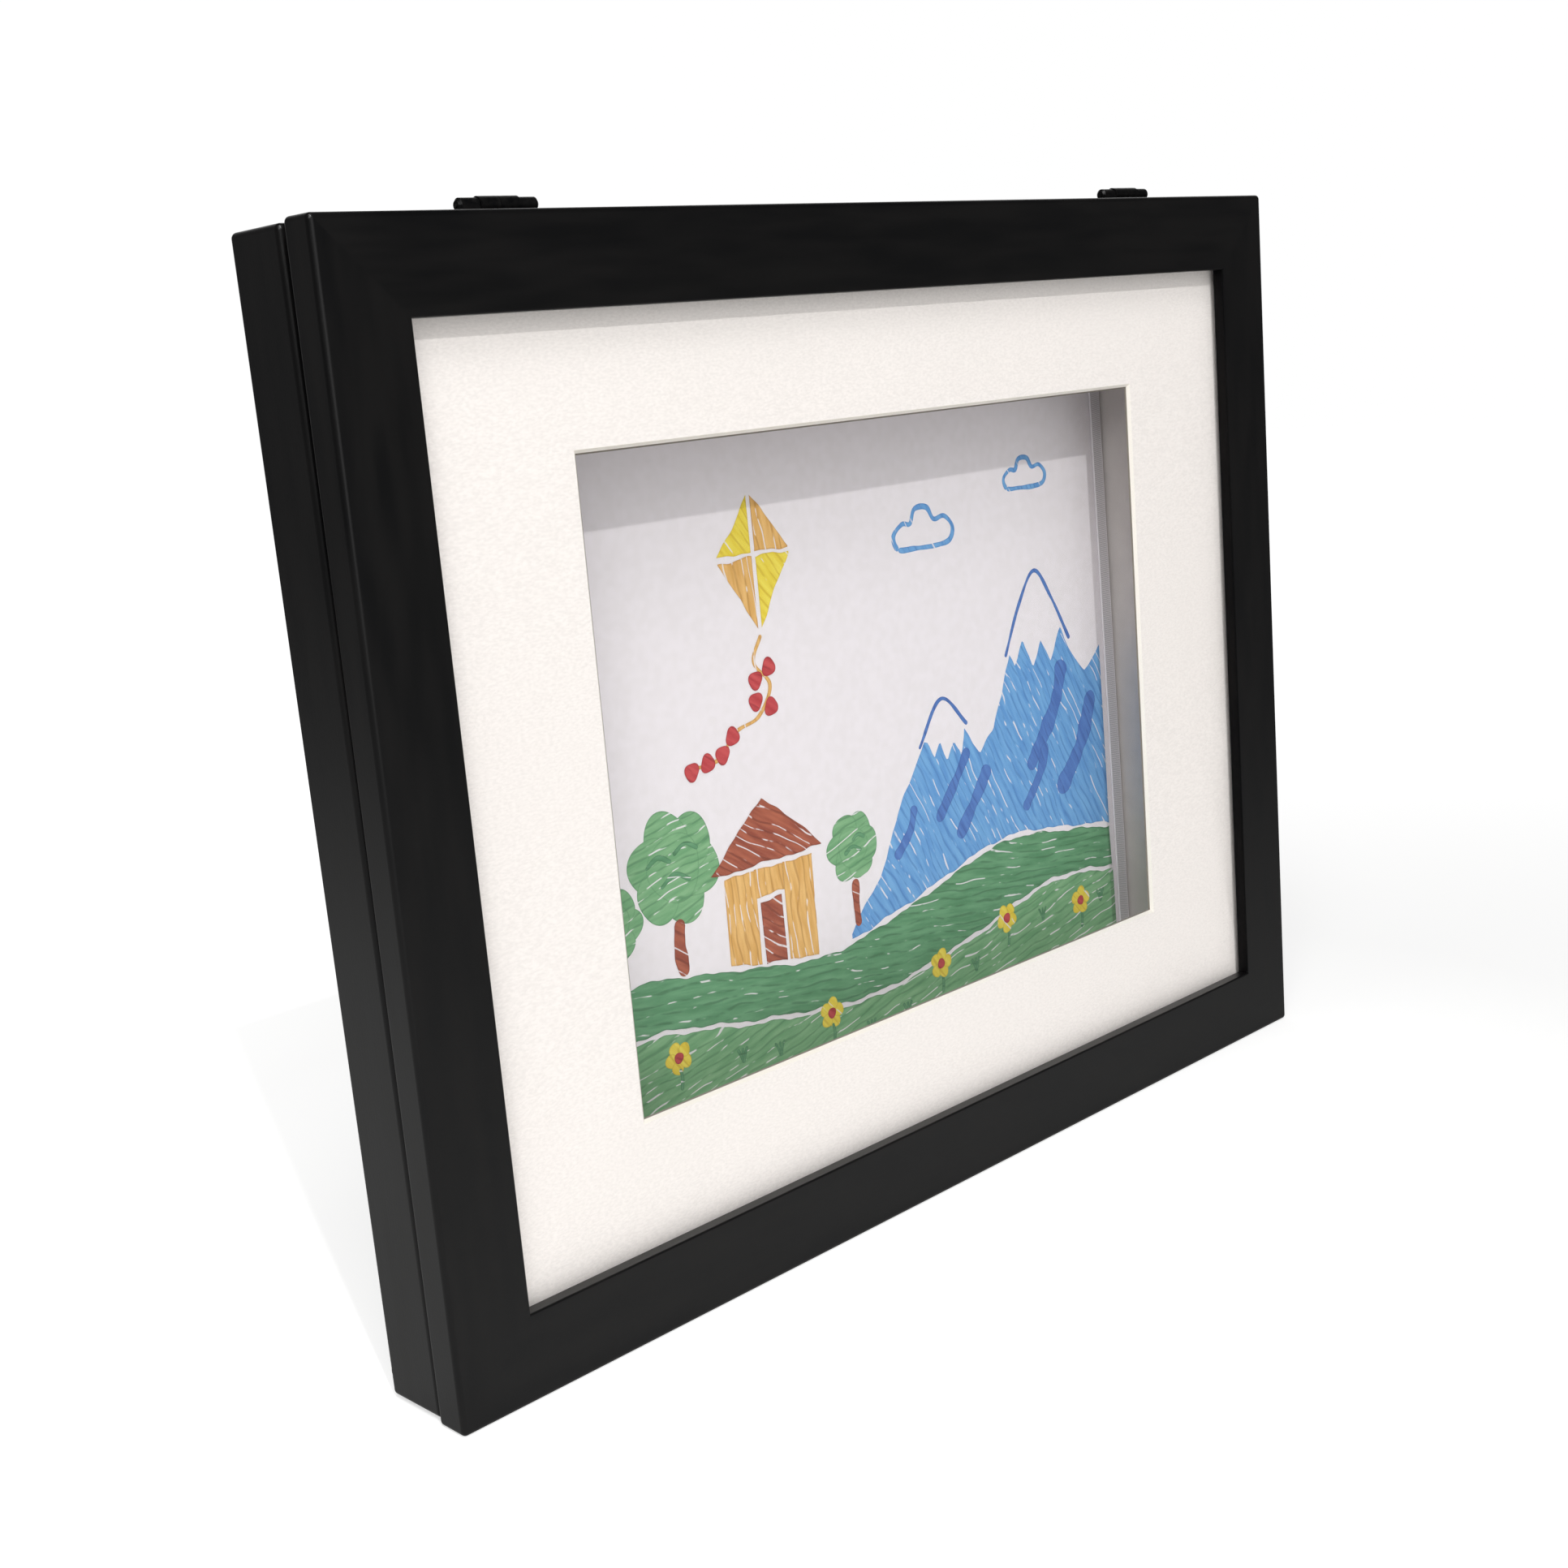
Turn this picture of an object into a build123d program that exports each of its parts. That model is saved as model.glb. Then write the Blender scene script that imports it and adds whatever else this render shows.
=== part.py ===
from build123d import *
from math import atan2, degrees
import os

os.makedirs("parts", exist_ok=True)

# Every length is in millimetres. X runs across the frame and Z up. Y runs back from the
# front of the door, as the door would stand if it hung parallel to the box. The door is
# built like that, and swung shut about its hinge pins before it is written.

# Sheet of art, letter size: the box is built round it
sheet_width = 279.4
sheet_height = 215.9
sheet_thickness = 0.3
side_play = 0.8
end_play = 3.0

# Box frame
rail_width = 14.0
box_inset = 0.9
box_round = 1.6
shut_gap = 0.3
rear_rabbet = 5.0

# Boards inside the box
face_border_side = 41.6
face_border_end = 30.75
board_play = 0.2
face_setback = 0.7
face_board_thickness = 3.0
cavity_depth = 18.7
liner_thickness = 3.0
backing_thickness = 1.0
panel_thickness = 1.5
panel_recess = 0.5

# Door frame
door_depth = 11.6
face_width = 25.4
lip_depth = 4.0
rabbet_width = 6.0
door_round = 1.5
sight_round = 0.6

# Pane and mat in the door: the window of the mat covers the edges of the sheet
pane_play = 0.5
glass_thickness = 2.0
mat_thickness = 1.4
mat_overlap_side = 19.05
mat_overlap_end = 14.35

# Steel tabs pushed into a rabbet wall, flat over what the rabbet holds
tab_width = 12.0
tab_grip = 4.0
tab_reach = 7.0
tab_thickness = 0.4
across_shares = (-0.42, 0.0, 0.42)
up_shares = (0.28, 0.72)

# Nailed corner wedges in the mitres of the door
wedge_setback = 12.0
wedge_wing = 6.0
wedge_thickness = 0.5
wedge_depth = 7.0

# Elastic straps over the two ends of the sheet
strap_width = 5.5
strap_thickness = 0.6
strap_wall_gap = 0.85
strap_slot_play = 0.3
strap_tail = 12.0
staple_wire = 0.35
staple_bite = 0.6
staple_share = 0.6

# Magnets in the box and the steel discs that they hold on the door
magnet_inset = 46.1
magnet_radius = 5.0
magnet_thickness = 3.0
magnet_sink = 0.1
disc_radius = 5.5
disc_thickness = 1.2

# Butt hinges, their leaves between the door and the box and their pins above both
hinge_inset = 64.0
hinge_length = 25.4
knuckle_count = 4
knuckle_radius = 1.9
knuckle_play = 0.15
roll_proud = 0.35
roll_chamfer = 0.7
pin_radius = 0.65
pin_play = 0.05
pin_proud = 0.2
pin_rise = 2.1
leaf_thickness = 1.0
leaf_drop = 11.0
leaf_notch_play = 0.25

# Countersunk screws in the hinge leaves
screw_spacing = 15.0
screw_drop = 6.0
screw_length = 8.0
screw_radius = 0.9
screw_head_radius = 1.8
screw_cross_width = 0.5
screw_cross_depth = 0.4

# Sawtooth hangers and their nails
hanger_inset = 86.1
hanger_height = 7.6
hanger_thickness = 0.6
hanger_land = 7.0
bridge_length = 22.0
bridge_slope = 2.0
bridge_rise = 1.5
tooth_count = 9
tooth_depth = 1.3
nail_inset = 3.6
nail_radius = 0.6
nail_length = 9.0
nail_head_radius = 1.4
nail_head_height = 0.5

# Rubber bumpers behind the lower corners
bumper_radius = 4.0
bumper_inset = 5.6
bumper_thickness = 2.4
bumper_round = 0.8

# Places that follow from the sizes above
cavity_width = sheet_width + 2 * side_play
cavity_height = sheet_height + 2 * end_play
inner_width = cavity_width + 2 * face_border_side
inner_height = cavity_height + 2 * face_border_end
box_width = inner_width + 2 * rail_width
box_height = inner_height + 2 * rail_width
frame_width = box_width + 2 * box_inset
frame_height = box_height + 2 * box_inset
window_width = sheet_width - 2 * mat_overlap_side
window_height = sheet_height - 2 * mat_overlap_end
sight_width = frame_width - 2 * face_width
sight_height = frame_height - 2 * face_width
pocket_width = sight_width + 2 * rabbet_width
pocket_height = sight_height + 2 * rabbet_width
pocket_base = face_width - rabbet_width
pane_width = pocket_width - 2 * pane_play
pane_height = pocket_height - 2 * pane_play
pane_base = pocket_base + pane_play
mat_front = lip_depth + glass_thickness
mat_back = mat_front + mat_thickness
middle_height = frame_height / 2
pin_y = door_depth + knuckle_radius
pin_z = frame_height + pin_rise
box_front = door_depth + 2 * knuckle_radius
inner_base = box_inset + rail_width
face_front = box_front + face_setback
liner_front = face_front + face_board_thickness
art_plane = face_front + cavity_depth
cavity_base = middle_height - cavity_height / 2
strap_front = art_plane - sheet_thickness - strap_thickness
tail_front = art_plane + backing_thickness
tail_back = tail_front + strap_thickness
panel_front = tail_back + staple_wire
panel_back = panel_front + panel_thickness
box_back = panel_back + panel_recess
hanger_length = bridge_length + 2 * (bridge_slope + hanger_land)
shut_angle = degrees(atan2(2 * knuckle_radius - shut_gap, pin_z))


def slab(width, depth, height, front=0, base=0, centre=0):
    """A block that runs back from front and up from base, centred across on centre."""
    corner = (Align.CENTER, Align.MIN, Align.MIN)
    return Pos(centre, front, base) * Box(width, depth, height, align=corner)


def disc(radius, depth, front, x, z):
    """A round slug on an axis from front to back."""
    flat = Cylinder(radius, depth, align=(Align.CENTER, Align.CENTER, Align.MIN))
    return Pos(x, front, z) * Rot(X=-90) * flat


def all_of(pieces):
    """One node made of separate solids."""
    return Compound([solid for piece in pieces for solid in piece.solids()])


def rail_prism(side, width, height, base, reach, depth):
    """The space of one rail: a trapezoid between two mitre planes at 45 degrees."""
    half = width / 2
    top = base + height
    outlines = {
        "bottom": [(-half, base), (half, base), (half - reach, base + reach), (reach - half, base + reach)],
        "top": [(-half, top), (reach - half, top - reach), (half - reach, top - reach), (half, top)],
        "left": [(-half, base), (reach - half, base + reach), (reach - half, top - reach), (-half, top)],
        "right": [(half, base), (half, top), (half - reach, top - reach), (half - reach, base + reach)],
    }
    outline = Plane.XZ * Polygon(*outlines[side], align=None)
    return extrude(outline, amount=depth, dir=(0, 1, 0))


def door_ring():
    """The moulding of the door in one piece: rounded outside, lipped for the pane."""
    ring = fillet(slab(frame_width, door_depth, frame_height).edges(), door_round)
    ring -= slab(sight_width, door_depth, sight_height, base=face_width)
    sight_edges = ring.faces().sort_by(Axis.Y)[0].inner_wires().edges()
    ring = fillet(sight_edges, sight_round)
    pocket_depth = door_depth - lip_depth
    return ring - slab(pocket_width, pocket_depth, pocket_height, front=lip_depth, base=pocket_base)


def box_ring():
    """The four box rails in one piece, with a rabbet at the back for the panel."""
    depth = box_back - box_front
    ring = fillet(slab(box_width, depth, box_height, box_front, box_inset).edges(), box_round)
    ring -= slab(inner_width, depth, inner_height, box_front, inner_base)
    rabbet_depth = box_back - panel_front
    rabbet_base = inner_base - rear_rabbet
    return ring - slab(
        inner_width + 2 * rear_rabbet, rabbet_depth, inner_height + 2 * rear_rabbet, panel_front, rabbet_base
    )


def split_rails(name, ring, width, height, base, reach):
    """Saw a ring into its four rails at the mitres."""
    sides = ("top", "bottom", "left", "right")
    return {f"{name}_{side}_rail": ring & rail_prism(side, width, height, base, reach, box_back) for side in sides}


def mitre_wedges():
    """An angle of thin steel across each mitre at the back of the door."""
    front = door_depth - wedge_depth
    reach = wedge_wing + wedge_thickness
    pieces = []
    for across in (-1, 1):
        x = across * (frame_width / 2 - wedge_setback)
        level_x = x + across * (reach / 2 - wedge_thickness / 2)
        for low in (True, False):
            apex = wedge_setback if low else frame_height - wedge_setback
            level_base = apex - wedge_thickness / 2
            upright_base = apex + wedge_thickness / 2 - reach if low else apex - wedge_thickness / 2
            level = slab(reach, wedge_depth, wedge_thickness, front, level_base, level_x)
            upright = slab(wedge_thickness, wedge_depth, reach, front, upright_base, x)
            pieces.append(level + upright)
    return all_of(pieces)


def edge_tabs(width, height, base, front):
    """Tabs round an opening: each is half sunk in the wall and half flat over the board."""
    length = tab_grip + tab_reach
    pieces = []
    for share in across_shares:
        x = share * width
        pieces.append(slab(tab_width, tab_thickness, length, front, base - tab_grip, x))
        pieces.append(slab(tab_width, tab_thickness, length, front, base + height - tab_reach, x))
    for share in up_shares:
        low = base + share * height - tab_width / 2
        for across in (-1, 1):
            x = across * (width / 2 + (tab_grip - tab_reach) / 2)
            pieces.append(slab(length, tab_thickness, tab_width, front, low, x))
    return all_of(pieces)


def glazing():
    """The flat pane."""
    return slab(pane_width, glass_thickness, pane_height, lip_depth, pane_base)


def mat_board():
    """The mat, whose window is cut at 45 degrees and is larger at the front."""
    board = slab(pane_width, mat_thickness, pane_height, mat_front, pane_base)
    outlines = []
    for depth in (mat_front - mat_thickness, mat_back + mat_thickness):
        spread = 2 * (mat_back - depth)
        plane = Plane((0, depth, middle_height), x_dir=(1, 0, 0), z_dir=(0, -1, 0))
        outlines.append(plane * Rectangle(window_width + spread, window_height + spread))
    return board - loft(outlines, ruled=True)


def magnet_places():
    """Where the magnets and their discs sit: across, and up."""
    height = box_inset + rail_width / 2
    across = box_width / 2 - magnet_inset
    return [(-across, height), (across, height)]


def door_discs():
    """Steel discs let flush into the back of the lower door rail."""
    front = door_depth - disc_thickness
    return all_of([disc(disc_radius, disc_thickness, front, x, z) for x, z in magnet_places()])


def box_magnets():
    """Disc magnets let into the front of the lower box rail."""
    front = box_front + magnet_sink
    return all_of([disc(magnet_radius, magnet_thickness, front, x, z) for x, z in magnet_places()])


def magnet_pockets():
    """The holes for the magnets, open to the front."""
    depth = magnet_thickness + magnet_sink
    return all_of([disc(magnet_radius, depth, box_front, x, z) for x, z in magnet_places()])


def knuckle(index):
    """One rolled knuckle on the pin line, numbered from the left end of a hinge."""
    pitch = hinge_length / knuckle_count
    inner = 0 < index < knuckle_count - 1
    radius = knuckle_radius + roll_proud if inner else knuckle_radius
    roll = Cylinder(radius, pitch - knuckle_play, rotation=(0, 90, 0))
    if not inner:
        end = roll.edges().filter_by(GeomType.CIRCLE).sort_by(Axis.X)[0 if index == 0 else -1]
        roll = chamfer(end, roll_chamfer)
    return Pos((index + 1 / 2) * pitch - hinge_length / 2, pin_y, pin_z) * roll


def screw_places():
    """How far each screw of a leaf lies from the middle of its hinge."""
    return (-screw_spacing / 2, screw_spacing / 2)


def leaf_screw(x, seat, turn):
    """A wood screw with its flat head at seat, in a countersink as deep as the leaf."""
    high = (Align.CENTER, Align.CENTER, Align.MAX)
    head = Cone(screw_radius, screw_head_radius, leaf_thickness, align=high)
    shank = Cylinder(screw_radius, screw_length, align=high)
    cross = Box(2 * screw_radius, screw_cross_width, 2 * screw_cross_depth)
    screw = head + shank - cross - Rot(Z=90) * cross
    return Pos(x, seat, frame_height - screw_drop) * Rot(X=turn) * screw


def leaf_hole(x, seat, turn):
    """The countersunk hole that a leaf screw fills, without the cross in its head."""
    high = (Align.CENTER, Align.CENTER, Align.MAX)
    head = Cone(screw_radius, screw_head_radius, leaf_thickness, align=high)
    shank = Cylinder(screw_radius, screw_length, align=high)
    return Pos(x, seat, frame_height - screw_drop) * Rot(X=turn) * (head + shank)


def hinge_leaf(front, seat, turn, own):
    """A leaf: a plate with a finger up to each of its own knuckles, bored for the pin."""
    pitch = hinge_length / knuckle_count
    low = frame_height - leaf_drop
    shoulder = pin_z - knuckle_radius - roll_proud - leaf_notch_play
    leaf = slab(hinge_length, leaf_thickness, shoulder - low, front, low)
    for index in own:
        x = (index + 1 / 2) * pitch - hinge_length / 2
        finger = slab(pitch - knuckle_play, leaf_thickness, pin_z - shoulder, front, shoulder, x)
        leaf = leaf + finger + knuckle(index)
    leaf -= Pos(0, pin_y, pin_z) * Cylinder(pin_radius + pin_play, hinge_length, rotation=(0, 90, 0))
    for x in screw_places():
        leaf -= leaf_hole(x, seat, turn)
    return leaf


def door_leaf():
    """The leaf on the back of the door, with the first and third knuckles."""
    return hinge_leaf(door_depth, door_depth + leaf_thickness, -90, range(0, knuckle_count, 2))


def box_leaf():
    """The leaf on the front of the box, with the second and fourth knuckles."""
    front = box_front - leaf_thickness
    return hinge_leaf(front, front, 90, range(1, knuckle_count, 2))


def hinge_pin():
    """The pin through all the knuckles, a little longer than the hinge."""
    return Pos(0, pin_y, pin_z) * Cylinder(pin_radius, hinge_length + 2 * pin_proud, rotation=(0, 90, 0))


def hinge_centres():
    """Where the middle of each hinge lies across the frame."""
    return {"left": hinge_inset - frame_width / 2, "right": frame_width / 2 - hinge_inset}


def leaf_screws(seat, turn, shape):
    """The screws, or their holes, of one leaf of each hinge."""
    places = [centre + x for centre in hinge_centres().values() for x in screw_places()]
    return all_of([shape(x, seat, turn) for x in places])


def liner(side):
    """One white wall of the cavity, from the face board back to the backing board."""
    depth = art_plane - liner_front
    length = cavity_width + 2 * liner_thickness
    across = (cavity_width + liner_thickness) / 2
    walls = {
        "top": (length, liner_thickness, cavity_base + cavity_height, 0),
        "bottom": (length, liner_thickness, cavity_base - liner_thickness, 0),
        "left": (liner_thickness, cavity_height, cavity_base, -across),
        "right": (liner_thickness, cavity_height, cavity_base, across),
    }
    width, height, base, centre = walls[side]
    return slab(width, depth, height, liner_front, base, centre)


def face_board():
    """The white board round the mouth of the cavity."""
    width = inner_width - 2 * board_play
    height = inner_height - 2 * board_play
    board = slab(width, face_board_thickness, height, face_front, inner_base + board_play)
    return board - slab(cavity_width, face_board_thickness, cavity_height, face_front, cavity_base)


def art_sheet():
    """The sheet on show, flat against the backing board."""
    front = art_plane - sheet_thickness
    return slab(sheet_width, sheet_thickness, sheet_height, front, cavity_base + end_play)


def strap_centre(across):
    """The middle of a strap, just inside its wall of the cavity."""
    return across * (cavity_width / 2 - strap_wall_gap - strap_width / 2)


def strap_ends():
    """The lowest and highest points of a strap, halfway between the sheet and the wall."""
    low = cavity_base + end_play / 2 - strap_thickness / 2
    return low, 2 * middle_height - low


def elastic_strap(across):
    """A strap over the sheet, through a slot at each end and flat behind the board."""
    x = strap_centre(across)
    low, high = strap_ends()
    strap = slab(strap_width, strap_thickness, high - low, strap_front, low, x)
    for leg_base, tail_base in ((low, low), (high - strap_thickness, high - strap_tail)):
        strap += slab(strap_width, tail_back - strap_front, strap_thickness, strap_front, leg_base, x)
        strap += slab(strap_width, strap_thickness, strap_tail, tail_front, tail_base, x)
    return strap


def strap_staples():
    """A staple across each strap tail, its two points in the backing board."""
    low, high = strap_ends()
    span = strap_width + 2 * staple_wire
    depth = strap_thickness + staple_wire + staple_bite
    point_front = tail_front - staple_bite
    pieces = []
    for x in (strap_centre(-1), strap_centre(1)):
        for base in (low + staple_share * strap_tail, high - staple_share * strap_tail):
            staple = slab(span, staple_wire, staple_wire, tail_back, base, x)
            for across in (-1, 1):
                point_x = x + across * (strap_width + staple_wire) / 2
                staple += slab(staple_wire, depth, staple_wire, point_front, base, point_x)
            pieces.append(staple)
    return all_of(pieces)


def backing_board(staples):
    """The white board behind the sheet, slotted for the straps."""
    width = cavity_width + 2 * liner_thickness
    height = cavity_height + 2 * liner_thickness
    board = slab(width, backing_thickness, height, art_plane, cavity_base - liner_thickness)
    low, high = strap_ends()
    slot_width = strap_width + 2 * strap_slot_play
    slot_height = strap_thickness + 2 * strap_slot_play
    for x in (strap_centre(-1), strap_centre(1)):
        for base in (low - strap_slot_play, high - strap_thickness - strap_slot_play):
            board -= slab(slot_width, backing_thickness, slot_height, art_plane, base, x)
    return board - staples


def back_panel():
    """The hardboard panel that closes the back of the box."""
    width = inner_width + 2 * rear_rabbet - 2 * board_play
    height = inner_height + 2 * rear_rabbet - 2 * board_play
    return slab(width, panel_thickness, height, panel_front, inner_base - rear_rabbet + board_play)


def hanger_height_middle():
    """The middle of the back face of the top box rail."""
    return box_inset + box_height - (rail_width - rear_rabbet) / 2


def nail_places():
    """How far the nails of a hanger lie from its middle."""
    return (nail_inset - hanger_length / 2, hanger_length / 2 - nail_inset)


def hanger(centre):
    """A strip bent out in the middle, with saw teeth along the lower edge of the bend."""
    half, crest = hanger_length / 2, bridge_length / 2
    foot, rise = crest + bridge_slope, bridge_rise
    near = [(-half, 0), (-foot, 0), (-crest, rise), (crest, rise), (foot, 0), (half, 0)]
    far = [(x, y + hanger_thickness) for x, y in reversed(near)]
    strip = extrude(Polygon(*near, *far, align=None), amount=hanger_height)
    pitch = bridge_length / tooth_count
    for index in range(tooth_count):
        x = index * pitch - crest
        notch = Plane.XZ * Polygon((x, 0), (x + pitch, 0), (x + pitch / 2, tooth_depth), align=None)
        strip -= extrude(notch, amount=rise + hanger_thickness, dir=(0, 1, 0))
    strip = Pos(centre, box_back, hanger_height_middle() - hanger_height / 2) * strip
    for x in nail_places():
        strip -= disc(nail_radius, hanger_thickness, box_back, centre + x, hanger_height_middle())
    return strip


def hanger_centres():
    """Where the two hangers lie across the frame."""
    return (hanger_inset - box_width / 2, box_width / 2 - hanger_inset)


def hanger_nails():
    """Round-headed nails through the ends of the hangers."""
    head_front = box_back + hanger_thickness
    shank_front = head_front - nail_length
    pieces = []
    for centre in hanger_centres():
        for place in nail_places():
            x, z = centre + place, hanger_height_middle()
            shank = disc(nail_radius, nail_length, shank_front, x, z)
            pieces.append(shank + disc(nail_head_radius, nail_head_height, head_front, x, z))
    return all_of(pieces)


def wall_bumpers():
    """Rubber discs behind the lower corners."""
    pieces = []
    for across in (-1, 1):
        x = across * (box_width / 2 - bumper_inset)
        bumper = disc(bumper_radius, bumper_thickness, box_back, x, box_inset + bumper_inset)
        pieces.append(fillet(bumper.edges().sort_by(Axis.Y)[-1], bumper_round))
    return all_of(pieces)


def door_nodes():
    """Every piece that swings with the door."""
    pane_tabs = edge_tabs(pocket_width, pocket_height, pocket_base, mat_back)
    wedges, discs = mitre_wedges(), door_discs()
    seat = door_depth + leaf_thickness
    ring = door_ring() - pane_tabs - wedges - discs - leaf_screws(seat, -90, leaf_hole)
    nodes = split_rails("door", ring, frame_width, frame_height, 0, face_width + rabbet_width)
    nodes["glazing"] = glazing()
    nodes["mat_board"] = mat_board()
    nodes["glazing_tabs"] = pane_tabs
    nodes["door_corner_wedges"] = wedges
    nodes["door_strike_discs"] = discs
    nodes["hinge_door_screws"] = leaf_screws(seat, -90, leaf_screw)
    for side, centre in hinge_centres().items():
        nodes[f"hinge_{side}_door_leaf"] = Pos(centre, 0, 0) * door_leaf()
    return nodes


def box_nodes():
    """Every piece that stays with the box."""
    rear_width = inner_width + 2 * rear_rabbet
    rear_height = inner_height + 2 * rear_rabbet
    panel_tabs = edge_tabs(rear_width, rear_height, inner_base - rear_rabbet, panel_back)
    seat = box_front - leaf_thickness
    nails, staples = hanger_nails(), strap_staples()
    ring = box_ring() - panel_tabs - magnet_pockets() - nails - leaf_screws(seat, 90, leaf_hole)
    nodes = split_rails("box", ring, box_width, box_height, box_inset, rail_width + rear_rabbet)
    nodes["face_board"] = face_board()
    for side in ("top", "bottom", "left", "right"):
        nodes[f"cavity_wall_{side}"] = liner(side)
    nodes["backing_board"] = backing_board(staples)
    nodes["art_sheet"] = art_sheet()
    nodes["elastic_strap_left"] = elastic_strap(-1)
    nodes["elastic_strap_right"] = elastic_strap(1)
    nodes["strap_staples"] = staples
    nodes["back_panel"] = back_panel()
    nodes["back_panel_tabs"] = panel_tabs
    nodes["box_magnets"] = box_magnets()
    nodes["sawtooth_hangers"] = all_of([hanger(centre) for centre in hanger_centres()])
    nodes["hanger_nails"] = nails
    nodes["wall_bumpers"] = wall_bumpers()
    nodes["hinge_box_screws"] = leaf_screws(seat, 90, leaf_screw)
    for side, centre in hinge_centres().items():
        nodes[f"hinge_{side}_box_leaf"] = Pos(centre, 0, 0) * box_leaf()
        nodes[f"hinge_{side}_pin"] = Pos(centre, 0, 0) * hinge_pin()
    return nodes


def swing_shut(shape):
    """Turn a piece of the door about the hinge pins until its lower edge meets the box."""
    return shape.rotate(Axis((0, pin_y, pin_z), (1, 0, 0)), shut_angle)


def stand(nodes):
    """Put the origin under the middle of the whole frame, on the surface it stands on."""
    boxes = [shape.bounding_box() for shape in nodes.values()]
    front = min(box.min.Y for box in boxes)
    back = max(box.max.Y for box in boxes)
    low = min(box.min.Z for box in boxes)
    place = Pos(0, -(front + back) / 2, -low)
    return place, {name: place * shape for name, shape in nodes.items()}


assembly = {name: swing_shut(shape) for name, shape in door_nodes().items()}
assembly.update(box_nodes())
standing_place, assembly = stand(assembly)
for node_name, node_shape in assembly.items():
    export_step(node_shape, f"parts/{node_name}.step")
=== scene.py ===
# %% [markdown]
# # A children's art frame
#
# A shallow black box holds one sheet of a child's art. A black door with a pane and a wide mat hangs on two
# small hinges from the top of the box. The solid parts come from a CAD model, at their real size and place.
# This file gives every part its finish, adds what is finer than the CAD model needs, and lights the scene.

# %% Load the solid parts
import math

import bpy
import numpy as np
from mathutils import Matrix, Vector


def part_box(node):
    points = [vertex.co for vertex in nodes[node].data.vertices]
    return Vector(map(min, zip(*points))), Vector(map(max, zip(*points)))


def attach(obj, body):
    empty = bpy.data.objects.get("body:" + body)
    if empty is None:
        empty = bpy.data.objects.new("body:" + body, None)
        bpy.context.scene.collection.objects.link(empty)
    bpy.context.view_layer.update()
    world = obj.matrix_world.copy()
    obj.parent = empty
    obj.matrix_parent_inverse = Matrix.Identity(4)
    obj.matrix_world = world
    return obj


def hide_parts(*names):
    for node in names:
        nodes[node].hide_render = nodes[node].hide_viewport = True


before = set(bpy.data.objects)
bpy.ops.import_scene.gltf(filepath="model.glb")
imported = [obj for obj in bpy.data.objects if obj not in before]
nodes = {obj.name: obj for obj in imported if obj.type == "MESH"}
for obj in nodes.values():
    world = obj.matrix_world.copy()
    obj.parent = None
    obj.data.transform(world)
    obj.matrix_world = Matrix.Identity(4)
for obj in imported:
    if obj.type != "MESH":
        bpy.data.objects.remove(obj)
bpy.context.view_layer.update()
print("solid parts:", len(nodes))

# %% [markdown]
# ## Camera
#
# The picture was taken from the left, a little above the middle of the frame, with a mild wide lens. The
# straight edges of the door and its mat window are enough to work out where such a camera stood. Its place
# and its three directions are written down here as a matrix, because a matrix also keeps the small roll.

# %% Camera
MM = 0.001
CAMERA_PLACE = np.array((-454.7145, -440.9281, 268.4075)) * MM
CAMERA_RIGHT = (0.716500, -0.691702, -0.090422)
CAMERA_DOWN = (-0.205088, -0.084978, -0.975047)
CAMERA_AHEAD = (0.666758, 0.717166, -0.202747)
SENSOR = 36.0
PICTURE_SIDE = 1932
FOCAL_PIXELS = 2477.4712

lens = bpy.data.cameras.new("camera")
lens.sensor_width = SENSOR
lens.lens = SENSOR * (FOCAL_PIXELS / PICTURE_SIDE)
camera = bpy.data.objects.new("camera", lens)
bpy.context.scene.collection.objects.link(camera)
turned = np.eye(4)
turned[:3, 0] = CAMERA_RIGHT
turned[:3, 1] = np.negative(CAMERA_DOWN)
turned[:3, 2] = np.negative(CAMERA_AHEAD)
turned[:3, 3] = CAMERA_PLACE
camera.matrix_world = Matrix(turned.tolist())
bpy.context.scene.camera = camera
bpy.context.scene.view_settings.view_transform = "Standard"
print("lens:", round(lens.lens, 2), "mm")

# %% [markdown]
# ## Helpers for finishes
#
# A finish is a small tree of shader nodes. Almost all of them need the same few things: a colour given as it
# reads on a screen, noise of a known size, a number or a colour that follows the noise, and a bump. Noise is
# laid out in Object coordinates, so its size is a real size in millimetres and it stays on its part when the
# door swings.
#
# Screen values aren't amounts of light: a screen brightens them by a curve, straight at its foot and a power
# above that. Shaders work with light, so the first helper undoes the curve.


# %% Colours and nodes
CURVE_FOOT, FOOT_SLOPE, CURVE_SHIFT, CURVE_POWER = 0.04045, 12.92, 0.055, 2.4


def tone(red, green, blue):
    """A colour from its 0 to 255 screen values, in the linear light that shaders use."""
    screen = np.array((red, green, blue)) / 255
    above = ((screen + CURVE_SHIFT) / (1 + CURVE_SHIFT)) ** CURVE_POWER
    linear = np.where(screen <= CURVE_FOOT, screen / FOOT_SLOPE, above)
    return (*linear.tolist(), 1.0)


def add(tree, kind, sockets=None, **settings):
    """A new shader node, its settings made and its named sockets filled."""
    node = tree.nodes.new("ShaderNode" + kind)
    for name, value in settings.items():
        setattr(node, name, value)
    for name, value in (sockets or {}).items():
        node.inputs[name].default_value = value
    return node


def plug(tree, socket, value):
    """Fill a socket with a number or a colour, or link the output of a node to it."""
    if isinstance(value, bpy.types.NodeSocket):
        tree.links.new(value, socket)
    else:
        socket.default_value = value


def work(tree, operation, *values):
    """The result of one sum on numbers and outputs of nodes."""
    node = add(tree, "Math", operation=operation)
    for socket, value in zip(node.inputs, values):
        plug(tree, socket, value)
    return node.outputs[0]


print("screen value 128 as light:", round(tone(128, 128, 128)[0], 3))


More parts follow.
